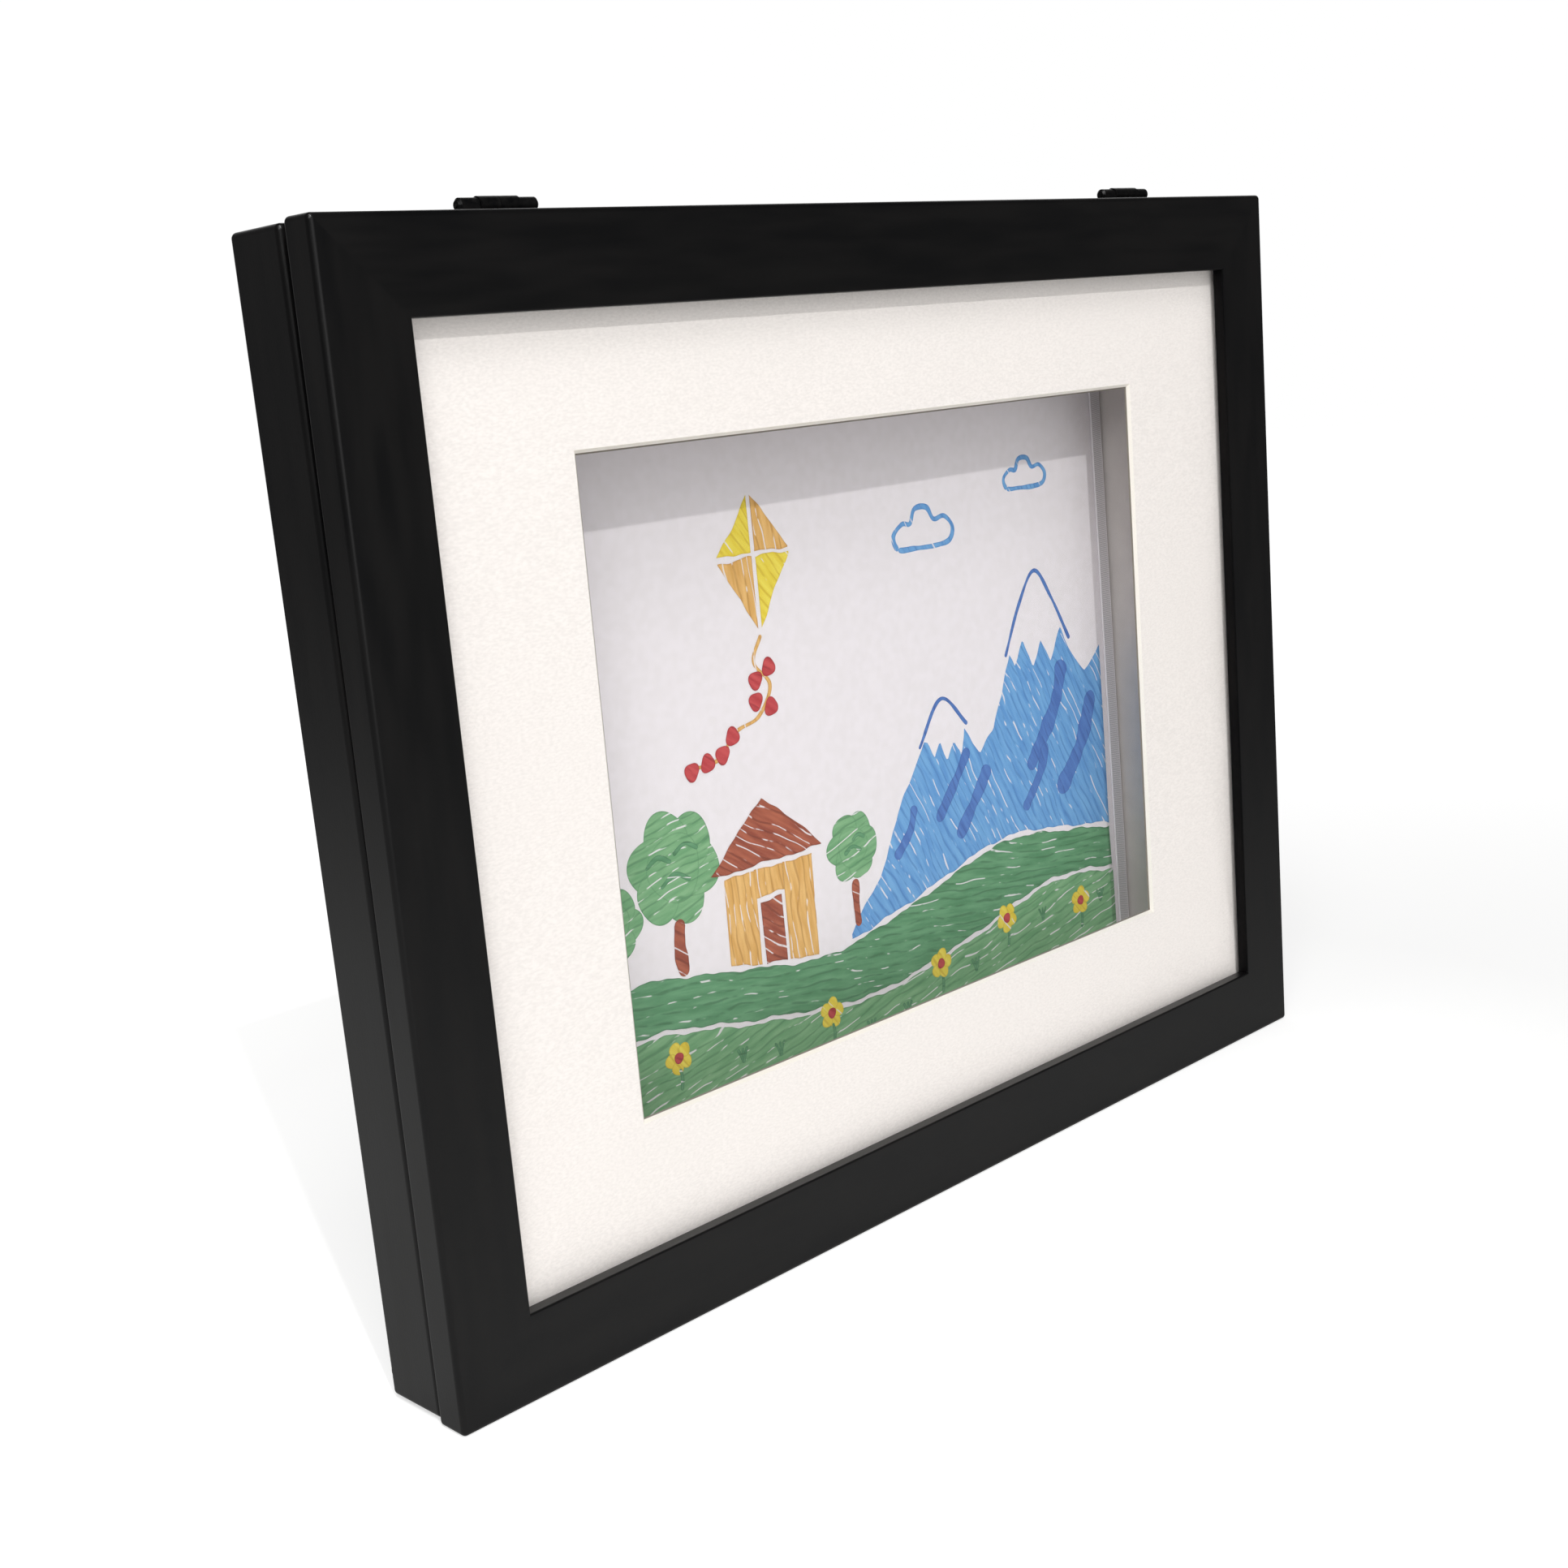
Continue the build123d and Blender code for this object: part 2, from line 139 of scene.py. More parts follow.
# %% Noise, ramps, mixes and bumps
def noise(tree, size, turn=0.0, detail=2.0):
    """Noise with spots of a size in mm, one number or x, y and z, turned in the plane of the picture."""
    place = add(tree, "TexCoord")
    fit = add(tree, "Mapping", vector_type="TEXTURE")
    fit.inputs["Scale"].default_value = (np.ones(3) * size * MM).tolist()
    fit.inputs["Rotation"].default_value = (0.0, math.radians(turn), 0.0)
    spots = add(tree, "TexNoise", {"Scale": 1.0, "Detail": detail})
    tree.links.new(place.outputs["Object"], fit.inputs["Vector"])
    tree.links.new(fit.outputs["Vector"], spots.inputs["Vector"])
    return spots.outputs["Fac"]


def ramp(tree, value, start, end, low, high):
    """A number that goes from low to high while value goes from start to end."""
    sockets = {"From Min": start, "From Max": end, "To Min": low, "To Max": high}
    span = add(tree, "MapRange", sockets)
    tree.links.new(value, span.inputs["Value"])
    return span.outputs["Result"]


def mix(tree, factor, first, second):
    """A colour between two others, each a plain colour or the output of a node."""
    node = add(tree, "Mix", data_type="RGBA")
    for number, value in ((0, factor), (6, first), (7, second)):
        plug(tree, node.inputs[number], value)
    return node.outputs[2]


def blend(tree, share, first, second):
    """Two shaders in one: the second takes the share, the first takes the rest."""
    node = add(tree, "MixShader")
    for socket, value in zip(node.inputs, (share, first, second)):
        plug(tree, socket, value)
    return node.outputs[0]


def bump(tree, height, rise, under=None):
    """A bump as high as rise, in mm, where height is 1, on top of another bump if one is given."""
    node = add(tree, "Bump", {"Distance": rise * MM, "Strength": 1.0})
    tree.links.new(height, node.inputs["Height"])
    if under is not None:
        tree.links.new(under, node.inputs["Normal"])
    return node.outputs["Normal"]


print("helpers: noise, ramp, mix, blend, bump")

# %% [markdown]
# ### One finish for most parts
#
# Nothing real is one flat colour. On almost any material the tone and the gloss drift a little from spot to
# spot, and the surface has a fine tooth. So one function makes both from two noises, one coarse and one fine,
# and each part only says how large the spots are and how far its values spread.

# %% A drifting finish, and parts dressed in it
NOISE_SPAN = (0.35, 0.65)
SPECULAR = "Specular IOR Level"


def new_material(name):
    """A material, its node tree and the shader that it starts with."""
    material = bpy.data.materials.new(name)
    material.use_nodes = True
    return material, material.node_tree, material.node_tree.nodes["Principled BSDF"]


def finish(name, tones, spots, rough, tooth, rise, steady=None, detail=2.0):
    """A finish that drifts between two screen colours and two gloss values, over a tooth of a given rise."""
    material, tree, shader = new_material(name)
    drift = noise(tree, spots, detail=detail)
    fine = noise(tree, tooth)
    first, second = (tone(*screen) for screen in tones)
    colour = mix(tree, ramp(tree, drift, *NOISE_SPAN, 0.0, 1.0), first, second)
    tree.links.new(colour, shader.inputs["Base Color"])
    tree.links.new(ramp(tree, drift, *NOISE_SPAN, *rough), shader.inputs["Roughness"])
    tree.links.new(bump(tree, fine, rise), shader.inputs["Normal"])
    for socket, value in (steady or {}).items():
        shader.inputs[socket].default_value = value
    return material


def dress(material, *names):
    """Give CAD nodes this finish."""
    for name in names:
        node = nodes[name]
        if not node.material_slots:
            node.data.materials.append(material)
        for slot in node.material_slots:
            slot.material = material
    print(material.name, "on", ", ".join(names))


print("a drift takes up noise values from", *NOISE_SPAN)

# %% [markdown]
# ### Where a point lies
#
# Some finishes change at a place on the part: an edge that was cut after painting, the bevel of the mat.
# Such a place is found from the Object coordinates, as a share that is 1 on one side and 0 on the other.


# %% Where a point lies
def along_axes(tree):
    """The Object coordinates x, y and z of the point, by name."""
    split = add(tree, "SeparateXYZ")
    tree.links.new(add(tree, "TexCoord").outputs["Object"], split.inputs[0])
    return split.outputs


def beyond(tree, coordinate, middle, half):
    """1 where a coordinate is further from the middle than half, 0 inside."""
    distance = work(tree, "ABSOLUTE", work(tree, "SUBTRACT", coordinate, middle))
    return work(tree, "GREATER_THAN", distance, half)


print("helpers: along_axes, beyond")

# %% [markdown]
# ## Black lacquer
#
# The rails are wood under a thin satin black. The grain still shows a little as long shallow pores, so the
# noise is stretched along each rail: across for the top and bottom rails, up and down for the side rails.
# Black paint is not black light: most of what the eye sees on it is the room, so the gloss matters more
# than the colour. The inner sides of the upright door rails are cut after painting and only stained, so
# they hardly mirror the mat beside them.

# %% Black lacquer
LACQUER_GLOSS = 0.4
STAINED_GLOSS = 0.06
SIGHT_HALF = 171.9 * MM
PORE_WIDE, PORE_LONG = 0.5, 14.0
PATCH_WIDE, PATCH_LONG = 6.0, 40.0
PORE_RISE = 0.01
PEEL_SIZE, PEEL_RISE = 0.6, 0.01


def lacquer(name, along):
    """Satin black over long pores that run along axis 0 or 2."""
    pores = np.full(3, PORE_WIDE)
    pores[along] = PORE_LONG
    patches = np.full(3, PATCH_WIDE)
    patches[along] = PATCH_LONG
    material = finish(name, ((8, 8, 9), (14, 13, 13)), spots=patches, rough=(0.3, 0.36), tooth=pores,
                      rise=PORE_RISE, steady={SPECULAR: LACQUER_GLOSS})
    tree = material.node_tree
    normal = tree.nodes["Principled BSDF"].inputs["Normal"]
    under = normal.links[0].from_socket
    tree.links.new(bump(tree, noise(tree, PEEL_SIZE), PEEL_RISE, under), normal)
    return material


across = lacquer("black_lacquer_across", 0)
upright = lacquer("black_lacquer_upright", 2)
tree = upright.node_tree
painted = beyond(tree, along_axes(tree)["X"], 0.0, SIGHT_HALF)
gloss = ramp(tree, painted, 0.0, 1.0, STAINED_GLOSS, LACQUER_GLOSS)
tree.links.new(gloss, tree.nodes["Principled BSDF"].inputs[SPECULAR])
dress(across, "door_top_rail", "door_bottom_rail", "box_top_rail", "box_bottom_rail")
dress(upright, "door_left_rail", "door_right_rail", "box_left_rail", "box_right_rail")

# %% [markdown]
# ## Mat, boards and paper
#
# The mat is thick off-white board with a soft felt tooth. Its window is cut at 45 degrees, which bares the
# brighter core, so the bevel gets its own colour: it is found by its distance from the middle of the window.
# The last half millimetre of the cut is a thin grey line. The back of the mat is grey chipboard, found by
# the way that it faces. The walls of the cavity are plainer, greyer board, and the sheet is smooth white
# drawing paper.

# %% The mat
WINDOW_MIDDLE = Vector((0.0, 0.0, 156.714)) * MM
BEVEL_HALF = np.array((122.02, 94.97)) * MM
CUT_HALF = np.array((121.05, 94.0)) * MM
CORE_TONE = tone(252, 245, 236)
CUT_TONE = tone(132, 124, 114)
CHIPBOARD_TONE = tone(128, 121, 112)
BACK_FACING = (0.8, 0.9)


def outside(tree, half):
    """1 outside a rectangle round the middle of the window, 0 inside."""
    axes = along_axes(tree)
    sideways = beyond(tree, axes["X"], WINDOW_MIDDLE.x, half[0])
    upwards = beyond(tree, axes["Z"], WINDOW_MIDDLE.z, half[1])
    return work(tree, "MAXIMUM", sideways, upwards)


mat = finish("mat_board", ((245, 238, 234), (254, 247, 243)), spots=(1.3, 1.3, 0.55), rough=(0.82, 0.92),
             tooth=(0.9, 0.9, 0.4), rise=0.04, steady={SPECULAR: 0.25})
tree = mat.node_tree
shader = tree.nodes["Principled BSDF"]
board_colour = shader.inputs["Base Color"].links[0].from_socket
core = mix(tree, outside(tree, CUT_HALF), CUT_TONE, CORE_TONE)
bevelled = mix(tree, outside(tree, BEVEL_HALF), core, board_colour)
faces_to = add(tree, "SeparateXYZ")
tree.links.new(add(tree, "TexCoord").outputs["Normal"], faces_to.inputs[0])
backed = mix(tree, ramp(tree, faces_to.outputs["Y"], *BACK_FACING, 0.0, 1.0), bevelled, CHIPBOARD_TONE)
tree.links.new(backed, shader.inputs["Base Color"])
dress(mat, "mat_board")

# %% Boards and paper
board = finish("white_board", ((207, 200, 197), (212, 205, 202)), spots=7.0, rough=(0.6, 0.75),
               tooth=0.8, rise=0.02, steady={SPECULAR: 0.3}, detail=4.0)
dress(board, "face_board", "cavity_wall_top", "cavity_wall_bottom", "cavity_wall_left",
      "cavity_wall_right", "backing_board")
paper = finish("drawing_paper", ((244, 237, 240), (248, 241, 245)), spots=3.0, rough=(0.8, 0.9),
               tooth=0.35, rise=0.008, steady={SPECULAR: 0.25}, detail=3.0)
dress(paper, "art_sheet")

# %% [markdown]
# ## Pane
#
# Clear glass lets light straight through and returns a little of it, more at a shallow angle. A ray-traced
# refraction would stop the lamps, so the pane is a see-through shader with a mirror laid over it. How much
# the mirror takes is a few percent face on, and grows with the fifth power of the slant beyond that.

# %% Pane
PANE_TINT = (0.994, 0.998, 0.996, 1.0)
PANE_BLUR = 0.03
MIRROR_FACE_ON = 0.035
SLANT_POWER = 5.0
RIPPLE_SIZE, RIPPLE_RISE = 30.0, 0.02


def clear_pane(name):
    """A see-through sheet under a mirror: its share face on, plus the rest times the slant's fifth power."""
    material, tree, opaque = new_material(name)
    tree.nodes.remove(opaque)
    slant = add(tree, "LayerWeight", {"Blend": 0.5}).outputs["Facing"]
    share = ramp(tree, work(tree, "POWER", slant, SLANT_POWER), 0.0, 1.0, MIRROR_FACE_ON, 1.0)
    through = add(tree, "BsdfTransparent", {"Color": PANE_TINT})
    mirror = add(tree, "BsdfGlossy", {"Roughness": PANE_BLUR})
    tree.links.new(bump(tree, noise(tree, RIPPLE_SIZE), RIPPLE_RISE), mirror.inputs["Normal"])
    both = blend(tree, share, through.outputs[0], mirror.outputs[0])
    tree.links.new(both, tree.nodes["Material Output"].inputs["Surface"])
    return material


dress(clear_pane("clear_pane"), "glazing")

# %% [markdown]
# ## Small hardware
#
# The hinges are steel with a black coat, their pins are left bright. Staples, tabs, hangers and discs are
# plain metal: a metal's colour is the colour of its reflection, so each one differs in tint and in how
# fine its scratches are. The bumpers are grey rubber, and dull brown-black paper covers the back panel.

# %% Hinges
METAL = {"Metallic": 1.0}
hinge_black = finish("black_hinge", ((6, 6, 7), (13, 12, 12)), spots=1.6, rough=(0.32, 0.45),
                     tooth=0.25, rise=0.008, steady={SPECULAR: 0.3})
screw_black = finish("black_screw", ((16, 16, 17), (28, 27, 27)), spots=0.8, rough=(0.28, 0.42),
                     tooth=0.15, rise=0.006, steady={SPECULAR: 0.5})
pin_steel = finish("hinge_pin_steel", ((64, 64, 66), (88, 87, 86)), spots=0.8, rough=(0.22, 0.34),
                   tooth=0.1, rise=0.003, steady=METAL)
dress(hinge_black, "hinge_left_door_leaf", "hinge_right_door_leaf", "hinge_left_box_leaf",
      "hinge_right_box_leaf")
dress(screw_black, "hinge_door_screws", "hinge_box_screws")
dress(pin_steel, "hinge_left_pin", "hinge_right_pin")

# %% Tabs, magnets, hangers, bumpers and panel
tab_steel = finish("tab_steel", ((120, 119, 118), (158, 155, 150)), spots=2.5, rough=(0.3, 0.45),
                   tooth=(0.2, 1.5, 0.2), rise=0.004, steady=METAL)
strike_steel = finish("strike_steel", ((172, 172, 174), (200, 199, 197)), spots=1.5, rough=(0.25, 0.4),
                      tooth=(0.8, 0.15, 0.15), rise=0.004, steady=METAL)
nickel = finish("magnet_nickel", ((188, 184, 176), (208, 204, 196)), spots=1.2, rough=(0.12, 0.22),
                tooth=0.5, rise=0.002, steady=METAL)
zinc = finish("hanger_zinc", ((168, 170, 172), (205, 205, 200)), spots=2.2, rough=(0.3, 0.5),
              tooth=0.3, rise=0.006, steady=METAL)
rubber = finish("bumper_rubber", ((92, 92, 94), (108, 107, 106)), spots=0.9, rough=(0.7, 0.85),
                tooth=0.2, rise=0.01, steady={SPECULAR: 0.3})
panel = finish("panel_board", ((42, 40, 38), (58, 55, 52)), spots=3.0, rough=(0.75, 0.9),
               tooth=(0.3, 0.3, 1.6), rise=0.03, steady={SPECULAR: 0.3}, detail=4.0)
wedge_steel = finish("wedge_steel", ((96, 94, 92), (140, 137, 132)), spots=2.0, rough=(0.35, 0.5),
                     tooth=(0.2, 0.2, 1.2), rise=0.004, steady=METAL)
dress(tab_steel, "glazing_tabs", "back_panel_tabs", "strap_staples")
dress(strike_steel, "door_strike_discs")
dress(nickel, "box_magnets")
dress(zinc, "sawtooth_hangers", "hanger_nails")
dress(rubber, "wall_bumpers")
dress(panel, "back_panel")
dress(wedge_steel, "door_corner_wedges")

# %% [markdown]
# ## New surfaces
#
# Each piece below is a grid of points worked out by a formula of two parameters, and joined by quads. The
# same few lines turn any grid into a mesh. A thin piece is a front grid and a back grid, joined round the
# rim, so that it is closed like a real sheet.


# %% Grids into meshes
def quads_of(number):
    """The quads of a grid of point numbers, each turned the same way round."""
    corners = (number[:-1, :-1], number[:-1, 1:], number[1:, 1:], number[1:, :-1])
    return np.stack(corners, -1).reshape(-1, 4)


def closed_sheet(front, thickness):
    """A front grid, the same grid set back by the thickness, and a wall round the rim, all in mm."""
    rows, columns = front.shape[:2]
    count = rows * columns
    number = np.arange(count).reshape(rows, columns)
    back = front + np.array((0.0, thickness, 0.0))
    rim = np.concatenate((number[0], number[1:, -1], number[-1, -2::-1], number[-2:0:-1, 0]))
    after = np.roll(rim, -1)
    walls = np.stack((rim, rim + count, after + count, after), -1)
    faces = np.concatenate((quads_of(number), quads_of(number)[:, ::-1] + count, walls))
    return np.concatenate((front.reshape(-1, 3), back.reshape(-1, 3))), faces


def make_piece(name, points, faces, material, body, smooth=False):
    """A mesh object from points in mm, with its finish, which rides on a body."""
    mesh = bpy.data.meshes.new(name)
    mesh.from_pydata((np.asarray(points) * MM).tolist(), [], [list(face) for face in faces])
    mesh.materials.append(material)
    mesh.polygons.foreach_set("use_smooth", np.full(len(mesh.polygons), smooth))
    mesh.update()
    made = bpy.data.objects.new(name, mesh)
    bpy.context.scene.collection.objects.link(made)
    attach(made, body)
    print(name, len(mesh.vertices), "points", len(mesh.polygons), "faces")
    return made


def note_points(piece, name, values):
    """Keep one number for each point of a piece under a name, for its finish to read."""
    kept = piece.data.attributes.new(name, "FLOAT", "POINT")
    kept.data.foreach_set("value", values.astype(np.float32))


print("a grid of 3 by 4 points has", len(quads_of(np.arange(12).reshape(3, 4))), "quads")

# %% [markdown]
# ## Elastic straps
#
# The sheet is held by two narrow bands of white elastic. Each band goes over the sheet, through a slot at
# each end and flat behind the board. Woven elastic has fine slanted ribs and a smooth cord along each edge.
# The band is a closed section carried along its path, and the ribs are a wave that depends on both the way
# along and the way across, so they lean. The grooves between the ribs carry painted shade: their colour is
# darkened there, and the smooth cords are left without it.

# %% The path of a strap
STRAP_BEND = 0.55
STRAP_STEP = 0.12
BEND_POINTS = 7


def rounded_path(corners, radius, step):
    """Points along straight runs whose corners are rounded, with the outward direction at each point."""
    corners = np.asarray(corners, float)
    pieces = [corners[:1]]
    for before, corner, after in zip(corners, corners[1:], corners[2:]):
        come = (corner - before) / np.linalg.norm(corner - before)
        leave = (after - corner) / np.linalg.norm(after - corner)
        angle = np.linspace(0.0, math.pi / 2, BEND_POINTS)[:, None]
        centre = corner - come * radius + leave * radius
        pieces.append(centre - leave * radius * np.cos(angle) + come * radius * np.sin(angle))
    pieces.append(corners[-1:])
    rough = np.concatenate(pieces)
    length = np.concatenate(([0.0], np.cumsum(np.linalg.norm(np.diff(rough, axis=0), axis=1))))
    along = np.linspace(0.0, length[-1], int(length[-1] / step))
    line = np.stack([np.interp(along, length, rough[:, axis]) for axis in (0, 1)], -1)
    heading = np.gradient(line, axis=0)
    heading /= np.linalg.norm(heading, axis=1)[:, None]
    return line, np.stack((-heading[:, 1], heading[:, 0]), -1), along


strap_low, strap_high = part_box("elastic_strap_right")
print("a strap is", round((strap_high[2] - strap_low[2]) / MM, 1), "mm high")

# %% The ribbed section of a strap
STRAP_RIB = 0.72
STRAP_LEAN = 0.3
STRAP_RELIEF = 0.14
STRAP_RAGGED = 0.025
STRAP_THICK = 1.0
STRAP_TAIL = 12.0
SELVEDGE = 0.07
SECTION_FRONT = np.array((-1.0, -0.965, -0.93, -0.86, -0.58, -0.29, 0.0, 0.29, 0.58, 0.86, 0.93, 0.965, 1.0))
SECTION_BACK = np.array((1.0, 0.0, -1.0))
RIM_FROM, RIM_THICK = 0.99, 0.5


def strap_corners(low, high):
    """The turns of the strap's path from tail to tail, each as its y and z in mm."""
    half = STRAP_THICK / 2
    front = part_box("art_sheet")[0].y / MM - half
    back = high[1] - half
    return [(back, low[2] + STRAP_TAIL), (back, low[2] + half), (front, low[2] + half),
            (front, high[2] - half), (back, high[2] - half), (back, high[2] - STRAP_TAIL)]


def ribbed_strap(node):
    """A closed flat section swept along the strap's path, its outer face ribbed by a leaning sine wave."""
    low, high = (np.array(corner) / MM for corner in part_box(node))
    middle_x, half_width = (low[0] + high[0]) / 2, (high[0] - low[0]) / 2
    line, outward, along = rounded_path(strap_corners(low, high), STRAP_BEND, STRAP_STEP)
    across = np.concatenate((SECTION_FRONT, SECTION_BACK))
    side = np.concatenate((np.ones(len(SECTION_FRONT)), -np.ones(len(SECTION_BACK))))
    wave = np.cos(2 * math.pi * (along[:, None] + STRAP_LEAN * half_width * across[None]) / STRAP_RIB)
    inside = np.clip((1 - SELVEDGE - np.abs(across)) / SELVEDGE, 0.0, 1.0)[None]
    ribbed = inside * (side[None] > 0)
    rim = np.where(np.abs(across) > RIM_FROM, RIM_THICK, 1.0)[None]
    offset = STRAP_THICK / 2 * side[None] * rim + STRAP_RELIEF * (wave - 1) / 2 * ribbed
    points = np.empty((len(line), len(across), 3))
    points[..., 0] = middle_x + half_width * across[None] * (1 - STRAP_RAGGED * (1 - wave))
    points[..., 1] = line[:, :1] + outward[:, :1] * offset
    points[..., 2] = line[:, 1:] + outward[:, 1:] * offset
    number = np.arange(len(line) * len(across)).reshape(len(line), len(across))
    faces = quads_of(np.concatenate((number, number[:, :1]), 1)).tolist()
    faces += [number[0, ::-1].tolist(), number[-1].tolist()]
    plain = np.broadcast_to(1 - ribbed, wave.shape)
    # How deep each point lies in a groove, which the finish turns into painted shade.
    groove = (1 - wave) / 2 * ribbed
    return points.reshape(-1, 3), faces, {"selvedge": plain.ravel(), "groove": groove.ravel()}


print("ribs on each strap:", round((strap_high[2] - strap_low[2]) / MM / STRAP_RIB))

# %% White elastic and the two straps
# Painted shade in the grooves between the ribs: the grey that the colour is darkened towards, the groove
# depth where it starts, and how far it goes at most.
GROOVE_SHADE_TONE = tone(128, 122, 127)
GROOVE_SHADE_FROM, GROOVE_SHADE_MOST = 0.2, 0.7
SELVEDGE_TONE = tone(240, 235, 239)

elastic = finish("white_elastic", ((243, 237, 241), (250, 246, 248)), spots=0.5, rough=(0.7, 0.85),
                 tooth=0.12, rise=0.02, steady={SPECULAR: 0.3, "Sheen Weight": 0.2})
tree = elastic.node_tree
colour = tree.nodes["Principled BSDF"].inputs["Base Color"]
cord = add(tree, "Attribute", attribute_name="selvedge").outputs["Fac"]
groove = add(tree, "Attribute", attribute_name="groove").outputs["Fac"]
# Painted shade: the deeper a point lies in a groove, the darker its colour, as if the ribs shaded it.
shaded = ramp(tree, groove, GROOVE_SHADE_FROM, 1.0, 0.0, GROOVE_SHADE_MOST)
groove_shaded = mix(tree, shaded, colour.links[0].from_socket, GROOVE_SHADE_TONE)
tree.links.new(mix(tree, cord, groove_shaded, SELVEDGE_TONE), colour)
for side in ("left", "right"):
    points, faces, shares = ribbed_strap("elastic_strap_" + side)
    strap = make_piece("ribbed_strap_" + side, points, faces, elastic, "box", smooth=True)
    for name, values in shares.items():
        note_points(strap, name, values)
    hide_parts("elastic_strap_" + side)

# %% [markdown]
# ## The drawing
#
# The sheet carries a child's picture in felt-tip pen: hills, mountains, trees, a house and a kite. Every
# filled area is a very thin closed sheet, a few hundredths of a millimetre proud of the paper, so the
# outlines stay sharp at any distance. Three shapes are enough: a field between two lines, a blob round a
# middle and a stroke of the pen along a line. Each point also knows how far it is from the edge of its
# area, so the ink can be darker there, as it is where a pen stops and the ink pools.

# %% Lines drawn by hand
PAPER_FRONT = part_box("art_sheet")[0].y / MM
LINE_STEPS = 16
HAND_WAVES = np.array((23.0, 11.0, 5.5))
HAND_SHARES = (1.0, 0.6, 0.3)


def through(knots, steps=LINE_STEPS, closed=False):
    """A smooth line through the knots: a cubic on each span, its slope at a knot the mean of both sides."""
    knots = np.asarray(knots, float)
    if closed:
        ring = np.vstack((knots[-1], knots, knots[0], knots[1]))
    else:
        ring = np.vstack((2 * knots[0] - knots[1], knots, 2 * knots[-1] - knots[-2]))
    t = np.linspace(0.0, 1.0, steps, endpoint=False)[None, :, None]
    a, b, c, d = ring[:-3, None], ring[1:-2, None], ring[2:-1, None], ring[3:, None]
    line = 2 * b + (c - a) * t + (2 * a - 5 * b + 4 * c - d) * t ** 2 + (3 * b - a - 3 * c + d) * t ** 3
    line = line.reshape(-1, 2) / 2
    return line if closed else np.vstack((line, knots[-1:]))


def tremble(where, seed, size=0.35):
    """The small unsteadiness of a hand: three sine waves of different length, added."""
    phases = np.random.default_rng(seed).uniform(0.0, 2 * math.pi, 3)
    waves = np.sin(2 * math.pi * where[..., None] / HAND_WAVES + phases)
    return size * (waves * HAND_SHARES).sum(-1)


def height_at(knots, x, smooth=True):
    """The height of a drawn line above each x."""
    line = through(knots) if smooth else np.asarray(knots, float)
    return np.interp(x, line[:, 0], line[:, 1])


print("the paper's front is at y =", round(PAPER_FRONT, 2), "mm")

# %% A field between two lines
EDGE_STEPS = np.array((0.0, 0.35, 0.9))
FIELD_STEP = 0.8
FIELD_MARGIN = 1.5
FIELD_LEAST = 0.05
FIELD_SWAY = 0.25


def field(left, right, low, high, seed):
    """All points between two lines: x runs from left to right, z from low(x) to high(x)."""
    inner = np.arange(left + FIELD_MARGIN, right - FIELD_MARGIN, FIELD_STEP)
    x = np.concatenate((left + EDGE_STEPS, inner, (right - EDGE_STEPS)[::-1]))
    bottom = low(x) + tremble(x, seed)
    top = np.maximum(high(x) + tremble(x, seed + 1), bottom + FIELD_LEAST)
    reach = np.minimum(EDGE_STEPS[:, None], (top - bottom) / 2)
    z = np.concatenate((bottom + reach, (top - reach)[::-1]))
    ends = np.minimum(x - left, right - x)
    edge = np.minimum(np.concatenate((reach, reach[::-1])), ends[None])
    sway = tremble(z, seed + 2, FIELD_SWAY)
    return x[None] + sway, z, edge


print("a field has", 2 * len(EDGE_STEPS), "rows of points")

# %% A blob round a middle
BLOB_SIDE = np.array((-1.0, -0.97, -0.9, -0.7, -0.4, 0.0, 0.4, 0.7, 0.9, 0.97, 1.0))
BLOB_POINTS, LARGE_BLOB_POINTS = 17, 31
LARGE_FROM = 4


def blob(centre, radius, lobes, seed, swell=0.1):
    """A disc laid out from a square grid, its radius swelling and shrinking round its lobes."""
    count = LARGE_BLOB_POINTS if radius > LARGE_FROM else BLOB_POINTS
    last = len(BLOB_SIDE) - 1
    side = np.interp(np.linspace(0, last, count), np.arange(last + 1), BLOB_SIDE)
    u, v = np.meshgrid(side, side)
    p, q = u * np.sqrt(1 - v ** 2 / 2), v * np.sqrt(1 - u ** 2 / 2)
    angle, share = np.arctan2(q, p), np.hypot(p, q)
    phase = np.random.default_rng(seed).uniform(0.0, 2 * math.pi)
    size = radius * (1 + swell * np.sin(lobes * angle + phase) + swell / 3 * np.sin(2 * angle + 2 * phase))
    x = centre[0] + size * share * np.cos(angle)
    z = centre[1] + size * share * np.sin(angle)
    return x, z, (1 - share) * size


print("a large blob has", LARGE_BLOB_POINTS ** 2, "points, a small one", BLOB_POINTS ** 2)

# %% A stroke along a line
STROKE_LINE_STEPS = 14
STROKE_STEP = 0.7
STROKE_MARGIN = 0.3
STROKE_UNEVEN = 0.06
CAP_STEPS = np.geomspace(0.02, 1.0, 6)
CAP_LEAST = 0.0025
STROKE_ACROSS = np.array((-1.0, -0.75, 0.0, 0.75, 1.0))
NEXT_TO_NOTHING = 1e-9


def steps_along(total, half):
    """Places along a stroke in mm: close together in its two round ends, even between them."""
    end = np.minimum(CAP_STEPS * half, total / 3)
    even = np.arange(half + STROKE_MARGIN, total - half - STROKE_MARGIN, STROKE_STEP)
    along = np.concatenate(([0.0], end, even, total - end[::-1], [total]))
    return np.unique(np.clip(along, 0.0, total))


